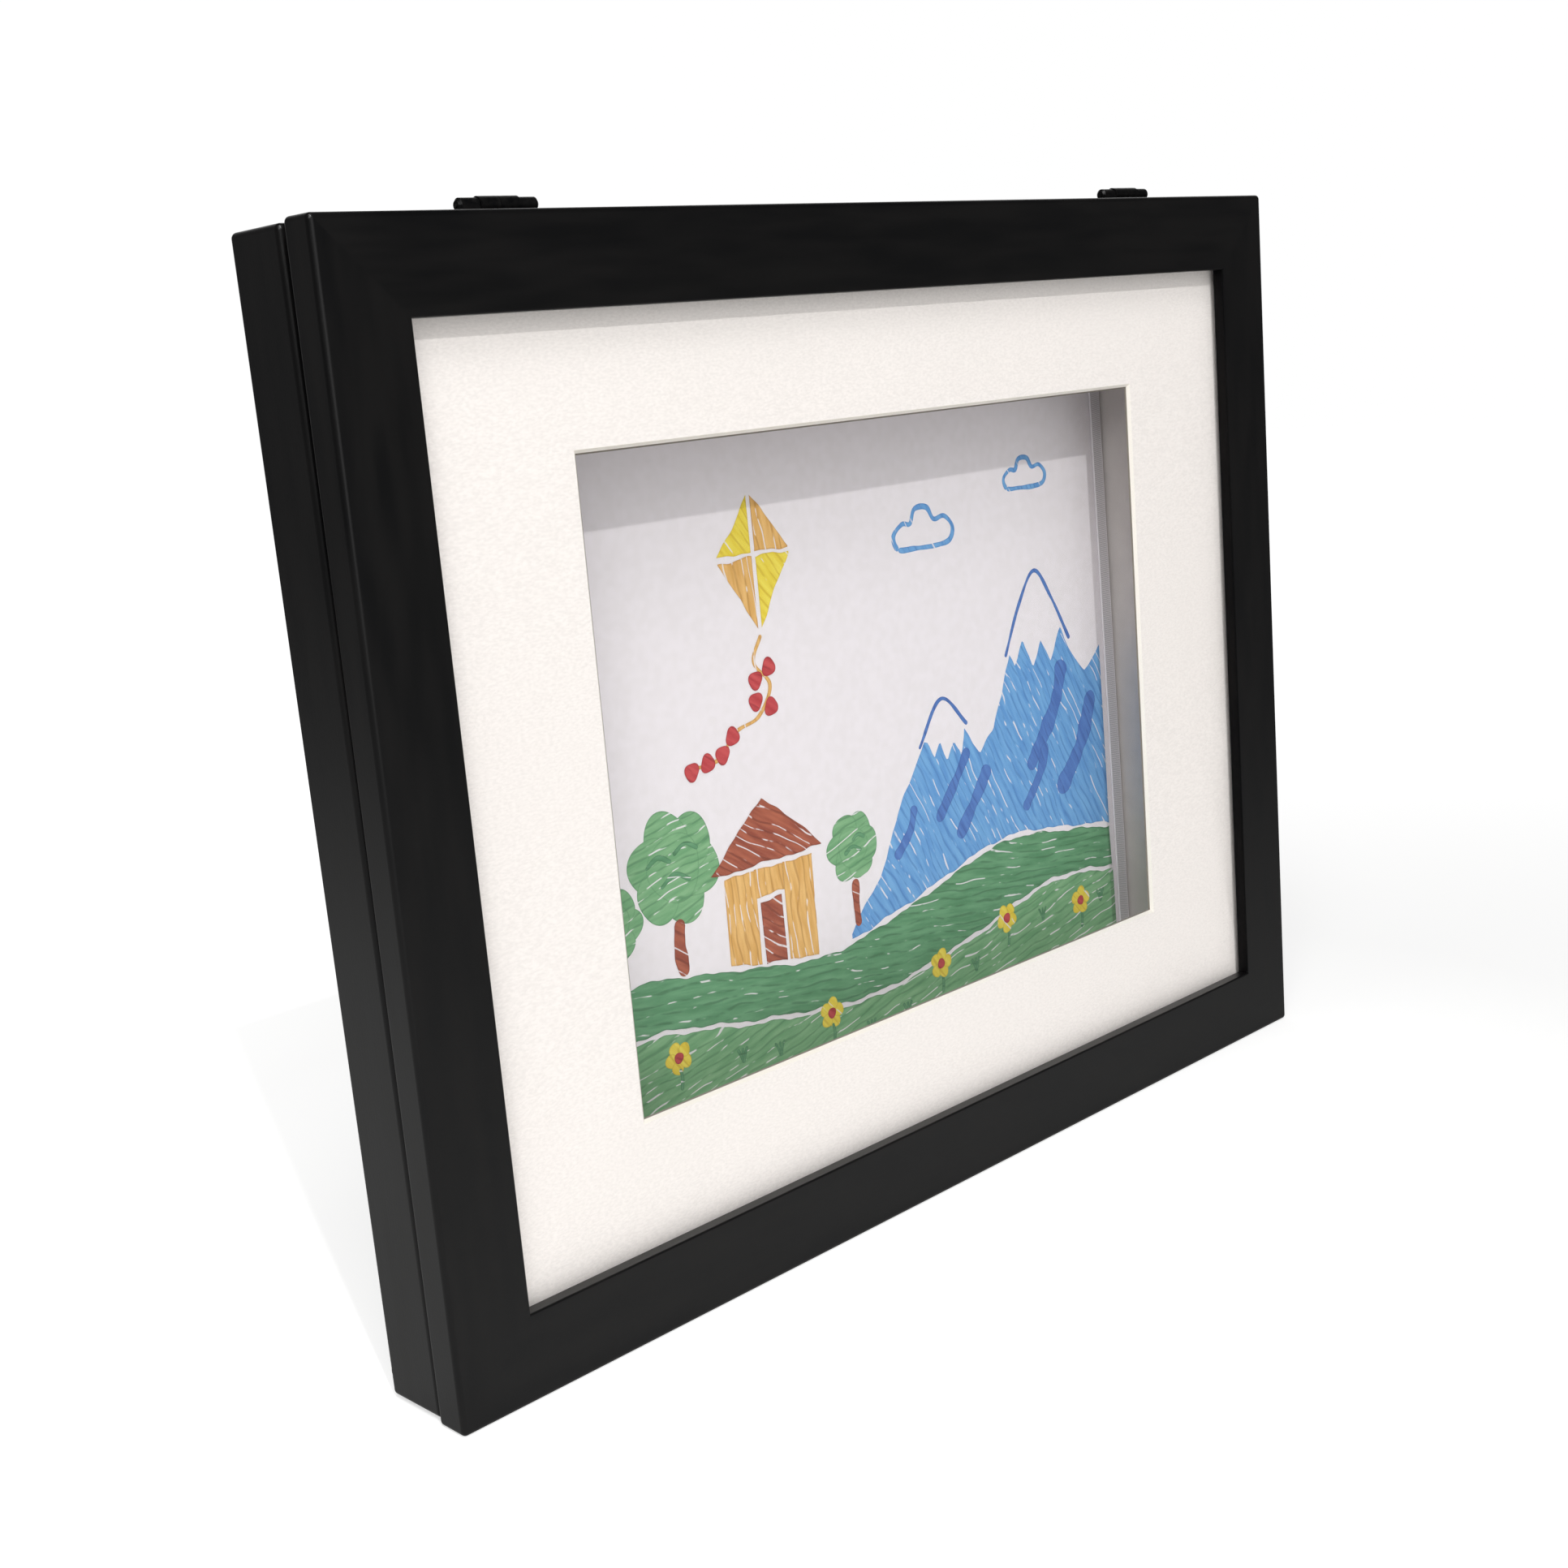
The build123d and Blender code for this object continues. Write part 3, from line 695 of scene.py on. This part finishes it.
def stroke(knots, width, seed, closed=False):
    """A ribbon along a smooth line, round at both ends, its width a little uneven."""
    line = through(knots, STROKE_LINE_STEPS, closed)
    line = np.vstack((line, line[:1])) if closed else line
    length = np.concatenate(([0.0], np.cumsum(np.linalg.norm(np.diff(line, axis=0), axis=1))))
    total = length[-1]
    along = steps_along(total, width / 2)
    line = np.stack([np.interp(along, length, line[:, axis]) for axis in (0, 1)], -1)
    heading = np.gradient(line, along, axis=0)
    heading /= np.maximum(np.linalg.norm(heading, axis=1), NEXT_TO_NOTHING)[:, None]
    normal = np.stack((-heading[:, 1], heading[:, 0]), -1)
    near = np.minimum(along, total - along)
    cap = np.sqrt(np.clip(1 - (1 - np.clip(near / (width / 2), 0, 1)) ** 2, CAP_LEAST, 1))
    half = width / 2 * cap + tremble(along, seed, STROKE_UNEVEN * width) * cap
    x = line[None, :, 0] + normal[None, :, 0] * half[None] * STROKE_ACROSS[:, None]
    z = line[None, :, 1] + normal[None, :, 1] * half[None] * STROKE_ACROSS[:, None]
    return x, z, (1 - np.abs(STROKE_ACROSS))[:, None] * half[None]


print("a stroke has", len(STROKE_ACROSS), "rows of points")

# %% [markdown]
# ### Felt-tip ink
#
# Ink goes on in strokes side by side, each as wide as the tip of the pen. Where two overlap the ink is
# darker, and now and then a sliver of paper stays bare between them. So the finish counts tip widths across
# the strokes: the part after the point says how near a seam is. Noise makes the seams wander, picks which
# ones are dark and which bare, and the distance to the edge, kept on the mesh in millimetres, darkens it.

# %% Seams between strokes of the pen
TIP_WIDTH = 3.0
SEAM_WANDER = 3.0
WANDER_SIZE = (30.0, 30.0, 12.0)
HALF_TIP = 0.5


def seams(tree, turn):
    """0 in the middle of each pen stroke, 1 where it meets the next."""
    place = add(tree, "TexCoord")
    across = add(tree, "Mapping", vector_type="TEXTURE")
    across.inputs["Scale"].default_value = [TIP_WIDTH * MM] * 3
    across.inputs["Rotation"].default_value = (0.0, math.radians(turn), 0.0)
    tree.links.new(place.outputs["Object"], across.inputs["Vector"])
    split = add(tree, "SeparateXYZ")
    tree.links.new(across.outputs["Vector"], split.inputs[0])
    wander = noise(tree, WANDER_SIZE, turn)
    count = work(tree, "MULTIPLY_ADD", wander, SEAM_WANDER, split.outputs["Z"])
    return ramp(tree, work(tree, "PINGPONG", count, HALF_TIP), 0.0, HALF_TIP, 1.0, 0.0)


print("the pen's tip is", TIP_WIDTH, "mm wide")

# %% The finish of one ink
BARE_PAPER = tone(244, 239, 242)
STREAK_SIZE, STREAK_DETAIL = (14.0, 14.0, 2.0), 4.0
STREAK_SPAN = (0.36, 0.64)
PLACES_SIZE = (9.0, 9.0, 3.0)
DARK_SEAM, DARK_MOST = (0.7, 0.85), 0.6
DARK_PLACES = (0.45, 0.55)
BARE_SEAM, BARE_MOST = (0.82, 0.9), 0.85
BARE_PLACES_SPAN = 0.04
POOL_REACH, POOL_MOST = 0.45, 0.6
INK_ROUGH_SPAN, INK_ROUGH = (0.3, 0.7), (0.6, 0.75)
INK_TOOTH, INK_RISE, INK_GLOSS = 0.35, 0.02, 0.3


def ink(name, light, deep, pooled, turn, misses):
    """Streaks between a light and a deep tone, dark or bare seams and pooled ink at the edge."""
    material, tree, shader = new_material(name)
    streak = noise(tree, STREAK_SIZE, turn, STREAK_DETAIL)
    colour = mix(tree, ramp(tree, streak, *STREAK_SPAN, 0.0, 1.0), tone(*light), tone(*deep))
    seam = seams(tree, turn)
    where = noise(tree, PLACES_SIZE, turn)
    dark_seam = work(tree, "MULTIPLY", ramp(tree, seam, *DARK_SEAM, 0.0, DARK_MOST),
                     ramp(tree, where, *DARK_PLACES, 1.0, 0.0))
    colour = mix(tree, dark_seam, colour, tone(*pooled))
    distance = add(tree, "Attribute", attribute_name="edge_mm")
    pool = ramp(tree, distance.outputs["Fac"], 0.0, POOL_REACH, POOL_MOST, 0.0)
    colour = mix(tree, pool, colour, tone(*pooled))
    bare_seam = work(tree, "MULTIPLY", ramp(tree, seam, *BARE_SEAM, 0.0, 1.0),
                     ramp(tree, where, misses, misses + BARE_PLACES_SPAN, 0.0, BARE_MOST))
    colour = mix(tree, bare_seam, colour, BARE_PAPER)
    tree.links.new(colour, shader.inputs["Base Color"])
    tree.links.new(ramp(tree, streak, *INK_ROUGH_SPAN, *INK_ROUGH), shader.inputs["Roughness"])
    tree.links.new(bump(tree, noise(tree, INK_TOOTH), INK_RISE), shader.inputs["Normal"])
    shader.inputs[SPECULAR].default_value = INK_GLOSS
    return material


print("ink pools within", POOL_REACH, "mm of an edge")

# %% Ink in eight colours
# Each row: the light, the deep and the pooled tone, the turn of the strokes and how rarely one misses.
PENS = {
    "blue": ((124, 180, 230), (102, 158, 218), (80, 130, 194), 62.0, 0.54),
    "deep_blue": ((96, 138, 206), (82, 118, 188), (70, 98, 162), 62.0, 0.8),
    "green": ((140, 188, 140), (114, 168, 120), (88, 138, 98), -12.0, 0.52),
    "deep_green": ((112, 166, 124), (90, 146, 104), (68, 114, 80), 8.0, 0.58),
    "yellow": ((250, 230, 96), (240, 212, 66), (216, 180, 56), 50.0, 0.56),
    "orange": ((244, 196, 124), (226, 172, 96), (192, 138, 72), 84.0, 0.5),
    "brown": ((186, 104, 78), (154, 78, 60), (118, 56, 44), 34.0, 0.5),
    "red": ((212, 88, 90), (190, 64, 70), (152, 46, 54), 35.0, 0.8),
}
inks = {name: ink("ink_" + name, *row) for name, row in PENS.items()}
print("inks:", ", ".join(inks))

# %% [markdown]
# ### The picture itself
#
# The motifs are listed colour by colour, in millimetres on the sheet. A field's lines are given by a few
# heights, the rest follows. Neighbours are kept a line's width apart, because a child leaves that much paper
# between two colours. Later patches of a colour lie a little in front of earlier ones.

# %% Lines of the land
NEAR_HILL = ((-140, 69), (-96, 74), (-50, 66), (0, 60), (48, 66), (96, 76), (140, 72))
FAR_HILL = ((-140, 86), (-100, 92), (-60, 86), (-20, 80), (20, 86), (70, 97), (110, 93), (140, 88))
RIDGE = ((-8, 84), (8, 100), (22, 124), (34, 140), (44, 152), (54, 143), (62, 131), (70, 138), (80, 160),
         (92, 182), (98, 188), (106, 177), (114, 160), (122, 150), (133, 158))
SNOW = ((-8, 150), (36, 140), (39, 134), (42, 139), (45, 131), (49, 138), (53, 133), (57, 150),
        (80, 166), (84, 158), (89, 166), (94, 156), (99, 165), (104, 157), (109, 166), (113, 170), (133, 190))
GAP = 1.5


def line_up(knots, shift=0.0):
    """A drawn line as a function of x, moved up by shift."""
    return lambda x: height_at(knots, x) + shift


def snow_cut(x):
    """The lower of the ridge and the snow line: what is above stays paper."""
    return np.minimum(height_at(RIDGE, x, False), height_at(SNOW, x, False))


def flat_line(z):
    """A level line."""
    return lambda x: np.full_like(x, z)


def slope(left, right, start, end):
    """A straight line from one height to another."""
    return lambda x: start + (end - start) * (x - left) / (right - left)


picture = {name: [] for name in inks}
print("the highest peak is at", max(z for x, z in RIDGE), "mm")

# %% Near hill, trees and grass
CROWN_RING, CROWN_PART, CROWN_MIDDLE = 0.55, 0.52, 0.62
CROWN_PARTS = 6
CROWN_SWELL = 0.06


def crown(centre, radius, seed):
    """A tree's crown: overlapping blobs on a ring, and one in the middle."""
    angles = np.linspace(0.0, 2 * math.pi, CROWN_PARTS + 1)[:-1] + seed
    ring = np.array(centre) + CROWN_RING * radius * np.stack((np.cos(angles), np.sin(angles)), -1)
    around = [blob(place, CROWN_PART * radius, 3, seed + order, CROWN_SWELL)
              for order, place in enumerate(ring)]
    return around + [blob(centre, CROWN_MIDDLE * radius, 3, seed + 9, CROWN_SWELL)]


picture["green"] += [field(-132.5, 132.5, flat_line(50.5), line_up(NEAR_HILL), 1)]
picture["green"] += crown((-80.0, 124.0), 17.0, 5) + crown((-106.0, 112.0), 11.0, 25)
picture["green"] += crown((-4.0, 113.0), 11.0, 45)
for x, z, high in ((-80, 119, 6), (-86, 126, 5), (-75, 128, 5), (-4, 111, 4), (-1, 115, 3)):
    picture["deep_green"] += [stroke(((x - high, z), (x, z + 0.5 * high), (x + high, z)), 1.5, x + 400)]
for x in (-60, -44, -2, 16, 52, 90, 124):
    base = float(height_at(NEAR_HILL, x)) - 12
    for lean in (-2.2, 0.0, 2.0):
        blade = ((x, base), (x + lean / 2, base + 3), (x + lean, base + 5))
        picture["deep_green"] += [stroke(blade, 1.0, x + 500)]
print("green patches:", len(picture["green"]), "deep green:", len(picture["deep_green"]))

# %% Far hill and mountains
picture["deep_green"] += [field(-132.0, 132.0, line_up(NEAR_HILL, GAP), line_up(FAR_HILL), 11)]
picture["blue"] += [field(-8.0, 132.3, line_up(FAR_HILL, GAP), snow_cut, 21)]
picture["deep_blue"] += [
    stroke(((38, 112), (50, 126), (56, 134)), 4.0, 31),
    stroke(((48, 104), (60, 118), (66, 126)), 5.0, 32),
    stroke(((88, 120), (104, 140), (110, 156)), 6.0, 33),
    stroke(((104, 108), (118, 124), (126, 142)), 6.5, 34),
    stroke(((84, 106), (94, 118), (98, 128)), 4.0, 35),
    stroke(((16, 104), (24, 112), (27, 120)), 3.5, 36),
    stroke(((31.5, 138.5), (44, 153.5), (56.5, 142.5)), 1.4, 37),
    stroke(((79, 162), (88, 179), (97.5, 190), (106, 179.5), (115, 163)), 1.4, 38),
]
print("deep blue patches:", len(picture["deep_blue"]))

# %% Tree trunks and house
ROOF_MIDDLE, ROOF_PEAK = -42.0, 138.0
ROOF_RISE, ROOF_HALF = 20.0, 24.0


def roof(x):
    """The two straight sides of the house's roof."""
    return ROOF_PEAK - ROOF_RISE * np.abs(x - ROOF_MIDDLE) / ROOF_HALF


picture["brown"] += [
    stroke(((-80, 90), (-81, 99), (-80, 108)), 4.4, 41),
    stroke(((-104, 93), (-103.6, 97), (-104, 101)), 3.2, 42),
    stroke(((-4, 86), (-4.4, 94), (-4, 102)), 3.0, 43),
    field(-66.0, -18.0, flat_line(117.0), roof, 44),
    field(-46.6, -37.4, line_up(FAR_HILL, GAP), flat_line(105.0), 46),
]
picture["orange"] += [
    field(-61.0, -48.0, line_up(FAR_HILL, GAP), flat_line(115.3), 51),
    field(-36.0, -23.0, line_up(FAR_HILL, GAP), flat_line(115.3), 52),
    field(-48.2, -35.8, flat_line(106.4), flat_line(115.2), 53),
]
print("brown patches:", len(picture["brown"]))

# %% Kite and clouds
KITE_LEFT, KITE_RIGHT = (-51.0, -36.8), (-35.2, -21.0)
TAIL = ((-36, 188), (-40, 180), (-34, 172), (-40, 163), (-50, 160), (-58, 153), (-70, 152))
BOW_REACH, BOW_SIZE = 3.4, 2.9


def kite_part(side, low, high, seed):
    """A field across one side of the kite between two straight lines, each given by its two heights."""
    return field(*side, slope(*side, *low), slope(*side, *high), seed)


def cloud(x, z, size):
    """One line of the pen round five humps and back along a flat foot."""
    knots = ((-1, 0), (-1.15, 0.35), (-0.8, 0.62), (-0.5, 0.6), (-0.3, 0.95), (0.15, 0.95), (0.4, 0.62),
             (0.8, 0.66), (1.1, 0.35), (0.95, 0.02), (0.4, -0.06), (-0.4, -0.04))
    return np.array(knots) * size + (x, z)


picture["orange"] += [
    kite_part(KITE_LEFT, (211.6, 190.0), (211.8, 212.2), 54),
    kite_part(KITE_RIGHT, (213.8, 213.6), (231.0, 213.9), 55),
]
picture["yellow"] += [
    kite_part(KITE_LEFT, (213.2, 213.8), (213.5, 231.0), 61),
    kite_part(KITE_RIGHT, (190.0, 212.0), (212.2, 212.2), 62),
]
picture["blue"] += [stroke(cloud(42, 206, 13), 1.7, 25, True), stroke(cloud(96, 220, 10), 1.6, 26, True)]
picture["orange"] += [stroke(TAIL, 1.3, 71)]
for place, turn in (((-37, 176), 0.5), ((-37.5, 166.5), -0.4), ((-54, 156.5), 0.8), ((-66, 152), 0.2)):
    reach = np.array((math.cos(turn), math.sin(turn))) * BOW_REACH
    for middle, seed in ((np.array(place) + reach, 81), (np.array(place) - reach, 82)):
        picture["red"] += [blob(middle, BOW_SIZE, 3, seed)]
print("orange patches:", len(picture["orange"]), "blue:", len(picture["blue"]))

# %% Flowers
PETALS, PETAL_REACH, PETAL_SIZE = 5, 3.1, 2.3
FLOWER_RISE, FLOWER_MIDDLE, FLOWER_SWELL = 3.5, 1.8, 0.05

for x, z in ((-86, 62), (-20, 57), (34, 59), (70, 66), (112, 62)):
    picture["deep_green"] += [stroke(((x, z - 7), (x + 0.6, z - 3), (x, z)), 1.2, 91)]
    for angle in np.arange(PETALS) * 2 * math.pi / PETALS + x:
        petal = (x + PETAL_REACH * math.cos(angle), z + FLOWER_RISE + PETAL_REACH * math.sin(angle))
        picture["yellow"] += [blob(petal, PETAL_SIZE, 3, x + 200, FLOWER_SWELL)]
    picture["red"] += [blob((x, z + FLOWER_RISE), FLOWER_MIDDLE, 3, x + 300, FLOWER_SWELL)]
print("yellow patches:", len(picture["yellow"]), "red:", len(picture["red"]))

# %% Ink on the paper
LAYER = 0.02
PATCH_LIFT = 0.001
INK_THICK = 0.015

for layer, (name, patches) in enumerate(picture.items()):
    points, faces, edges, start = [], [], [], 0
    for order, (x, z, edge) in enumerate(patches):
        lift = LAYER * (1 + layer) + PATCH_LIFT * order
        front = np.stack((np.broadcast_to(x, z.shape), np.full(z.shape, PAPER_FRONT - lift), z), -1)
        grid, quads = closed_sheet(front, INK_THICK)
        points.append(grid)
        faces.append(quads + start)
        edges.append(np.tile(np.broadcast_to(edge, z.shape).ravel(), 2))
        start += len(grid)
    drawn = make_piece("drawing_" + name, np.concatenate(points), np.concatenate(faces), inks[name], "box")
    note_points(drawn, "edge_mm", np.concatenate(edges))

# %% [markdown]
# ## Studio
#
# Four lamps stand to the left and in front: a small far key lamp, which draws the crisp edge of the mat
# window's shadow on the sheet, and three soft boxes, one high, one at the side and one low. A soft glow of
# the room from the left front and the light that a white ground throws back fill the shadows. A second glow
# from the right and behind shows the back and the right side when the frame is seen from there.

# %% Lamps
KEY_AHEAD = Vector((0.289, 0.722, -0.628))
KEY_POWER = 0.93
KEY_WIDTH = 1.2
# Each row: the name, the place in metres, the power in watts and the side in metres.
BOXES = (
    ("high_box", (-0.5, -0.6, 1.5), 10.6, 0.6),
    ("side_box", (-0.95, -0.85, 0.9), 3.7, 0.5),
    ("low_box", (-0.3, -1.4, 0.35), 2.8, 1.0),
)
FRAME_MIDDLE = Vector((0.0, 0.0, 0.157))


def lamp(name, kind, power, ahead, place=(0.0, 0.0, 0.0)):
    """A lamp at a place, turned so that it shines ahead."""
    light = bpy.data.lights.new(name, kind)
    light.energy = power
    made = bpy.data.objects.new(name, light)
    made.rotation_euler = ahead.to_track_quat("-Z", "Y").to_euler()
    made.location = place
    bpy.context.scene.collection.objects.link(made)
    print(name, power)
    return light


lamp("key_lamp", "SUN", KEY_POWER, KEY_AHEAD).angle = math.radians(KEY_WIDTH)
for name, place, power, side in BOXES:
    lamp(name, "AREA", power, FRAME_MIDDLE - Vector(place), place).size = side

# %% [markdown]
# ### The room
#
# The world is two rooms in one. Dull surfaces get their light from the soft glows. The camera, mirrors and
# glass see white instead: all round for the camera, behind the frame for mirrors, so that gloss and glass
# show the white backdrop. The Light Path node tells the rays apart, so no extra light falls on the frame.

# %% Rays and glows
GLOW_SPREAD = 3.0


def seen_not_lit(tree):
    """1 for rays from the camera, a mirror or glass, 0 for rays that carry light to a dull surface."""
    path = add(tree, "LightPath")
    total = path.outputs["Is Camera Ray"]
    for name in ("Is Glossy Ray", "Is Transmission Ray"):
        total = work(tree, "MAXIMUM", total, path.outputs[name])
    return total


def facing(tree, direction, ahead):
    """1 straight ahead, 0 square to it, less than 0 behind."""
    share = add(tree, "VectorMath", operation="DOT_PRODUCT")
    share.inputs[1].default_value = ahead
    tree.links.new(direction, share.inputs[0])
    return share.outputs["Value"]


def glow_ahead(tree, direction, ahead, strength, beneath=0.0):
    """A soft glow round one direction, the cube of how far it is faced, on top of another glow."""
    front = ramp(tree, facing(tree, direction, ahead), 0.0, 1.0, 0.0, 1.0)
    return work(tree, "MULTIPLY_ADD", work(tree, "POWER", front, GLOW_SPREAD), strength, beneath)


print("a glow falls with the power", GLOW_SPREAD, "of how far it is faced")

# %% The room
WHITE = (1.0, 1.0, 1.0, 1.0)
LEFT_FRONT = (-0.693, -0.693, 0.198)
LEFT_FRONT_GLOW = 0.64
RIGHT_BEHIND = (0.64, 0.715, 0.28)
RIGHT_BEHIND_GLOW = 0.75
BACKDROP_AHEAD = (0.68, 0.73, 0.0)
BACKDROP_SPAN = (0.6, 0.9)
LEFT_BACK = (-0.5, 0.866, 0.0)
LEFT_BACK_MIRRORED = 0.09
RIGHT_FRONT = (0.75, -0.66, 0.0)
RIGHT_FRONT_MIRRORED = 0.05

world = bpy.data.worlds.new("studio")
bpy.context.scene.world = world
world.use_nodes = True
tree = world.node_tree
direction = add(tree, "TexCoord").outputs["Generated"]
shown = tree.nodes["Background"]
shown.inputs["Color"].default_value = WHITE
backdrop = ramp(tree, facing(tree, direction, BACKDROP_AHEAD), *BACKDROP_SPAN, 0.0, 1.0)
mirrored = glow_ahead(tree, direction, LEFT_BACK, LEFT_BACK_MIRRORED, backdrop)
mirrored = glow_ahead(tree, direction, RIGHT_FRONT, RIGHT_FRONT_MIRRORED, mirrored)
white = work(tree, "MAXIMUM", mirrored, add(tree, "LightPath").outputs["Is Camera Ray"])
tree.links.new(white, shown.inputs["Strength"])
room = add(tree, "Background", {"Color": WHITE})
lit = glow_ahead(tree, direction, RIGHT_BEHIND, RIGHT_BEHIND_GLOW)
tree.links.new(glow_ahead(tree, direction, LEFT_FRONT, LEFT_FRONT_GLOW, lit), room.inputs["Strength"])
either = blend(tree, seen_not_lit(tree), room.outputs[0], shown.outputs[0])
tree.links.new(either, tree.nodes["World Output"].inputs["Surface"])
print("world nodes:", len(tree.nodes))

# %% [markdown]
# ### The ground
#
# A wide pale ground carries the frame's shadow. It glows for the camera, more with distance, until it is as
# white as the backdrop, and it throws a little light back at the frame, less close by, where the frame
# itself keeps the light off.

# %% The ground's mesh
GROUND_HALF = 4000.0
GROUND_DOWN = 0.05
GROUND_POINTS = 9

side = np.linspace(-GROUND_HALF, GROUND_HALF, GROUND_POINTS)
x, y = np.meshgrid(side, side)
flat = np.stack((x, y, np.full_like(x, -GROUND_DOWN)), -1).reshape(-1, 3) * MM
number = np.arange(GROUND_POINTS ** 2).reshape(GROUND_POINTS, GROUND_POINTS)
ground_mesh = bpy.data.meshes.new("ground")
ground_mesh.from_pydata(flat.tolist(), [], quads_of(number).tolist())
ground = bpy.data.objects.new("ground", ground_mesh)
bpy.context.scene.collection.objects.link(ground)
print("the ground is", 2 * GROUND_HALF * MM, "m wide")

# %% The ground's finish
CAMERA_GLOW, CAMERA_REACH = (0.6, 1.0), (0.3, 0.9)
BOUNCE, BOUNCE_REACH = (0.46, 0.62), (0.4, 0.8)
MIRRORED_LESS = 0.2
PALE_MIDDLE, PALE_REACH = (-0.35, 0.3, 0.0), (0.1, 1.2)
PALE_TONE, FAR_TONE = tone(232, 232, 231), tone(125, 125, 125)
BLACK = tone(0, 0, 0)

pale, tree, unused = new_material("pale_ground")
tree.nodes.remove(unused)
dull = add(tree, "BsdfDiffuse")
glow = add(tree, "Emission")
place = add(tree, "TexCoord").outputs["Object"]
away = add(tree, "VectorMath", operation="LENGTH")
tree.links.new(place, away.inputs[0])
off_pale = add(tree, "VectorMath", operation="DISTANCE")
off_pale.inputs[1].default_value = PALE_MIDDLE
tree.links.new(place, off_pale.inputs[0])
darker = ramp(tree, off_pale.outputs["Value"], *PALE_REACH, 0.0, 1.0)
ground_colour = mix(tree, darker, PALE_TONE, FAR_TONE)
path = add(tree, "LightPath")
less = ramp(tree, path.outputs["Is Glossy Ray"], 0.0, 1.0, 0.0, MIRRORED_LESS)
tree.links.new(mix(tree, less, ground_colour, BLACK), dull.inputs["Color"])
far = ramp(tree, away.outputs["Value"], *CAMERA_REACH, *CAMERA_GLOW)
seen = work(tree, "MULTIPLY", far, path.outputs["Is Camera Ray"])
bounce = ramp(tree, away.outputs["Value"], *BOUNCE_REACH, *BOUNCE)
lights = ramp(tree, seen_not_lit(tree), 0.0, 1.0, 1.0, 0.0)
strength = work(tree, "ADD", seen, work(tree, "MULTIPLY", bounce, lights))
tree.links.new(strength, glow.inputs["Strength"])
both = add(tree, "AddShader")
tree.links.new(dull.outputs[0], both.inputs[0])
tree.links.new(glow.outputs[0], both.inputs[1])
tree.links.new(both.outputs[0], tree.nodes["Material Output"].inputs["Surface"])
ground_mesh.materials.append(pale)
print("ground nodes:", len(tree.nodes))
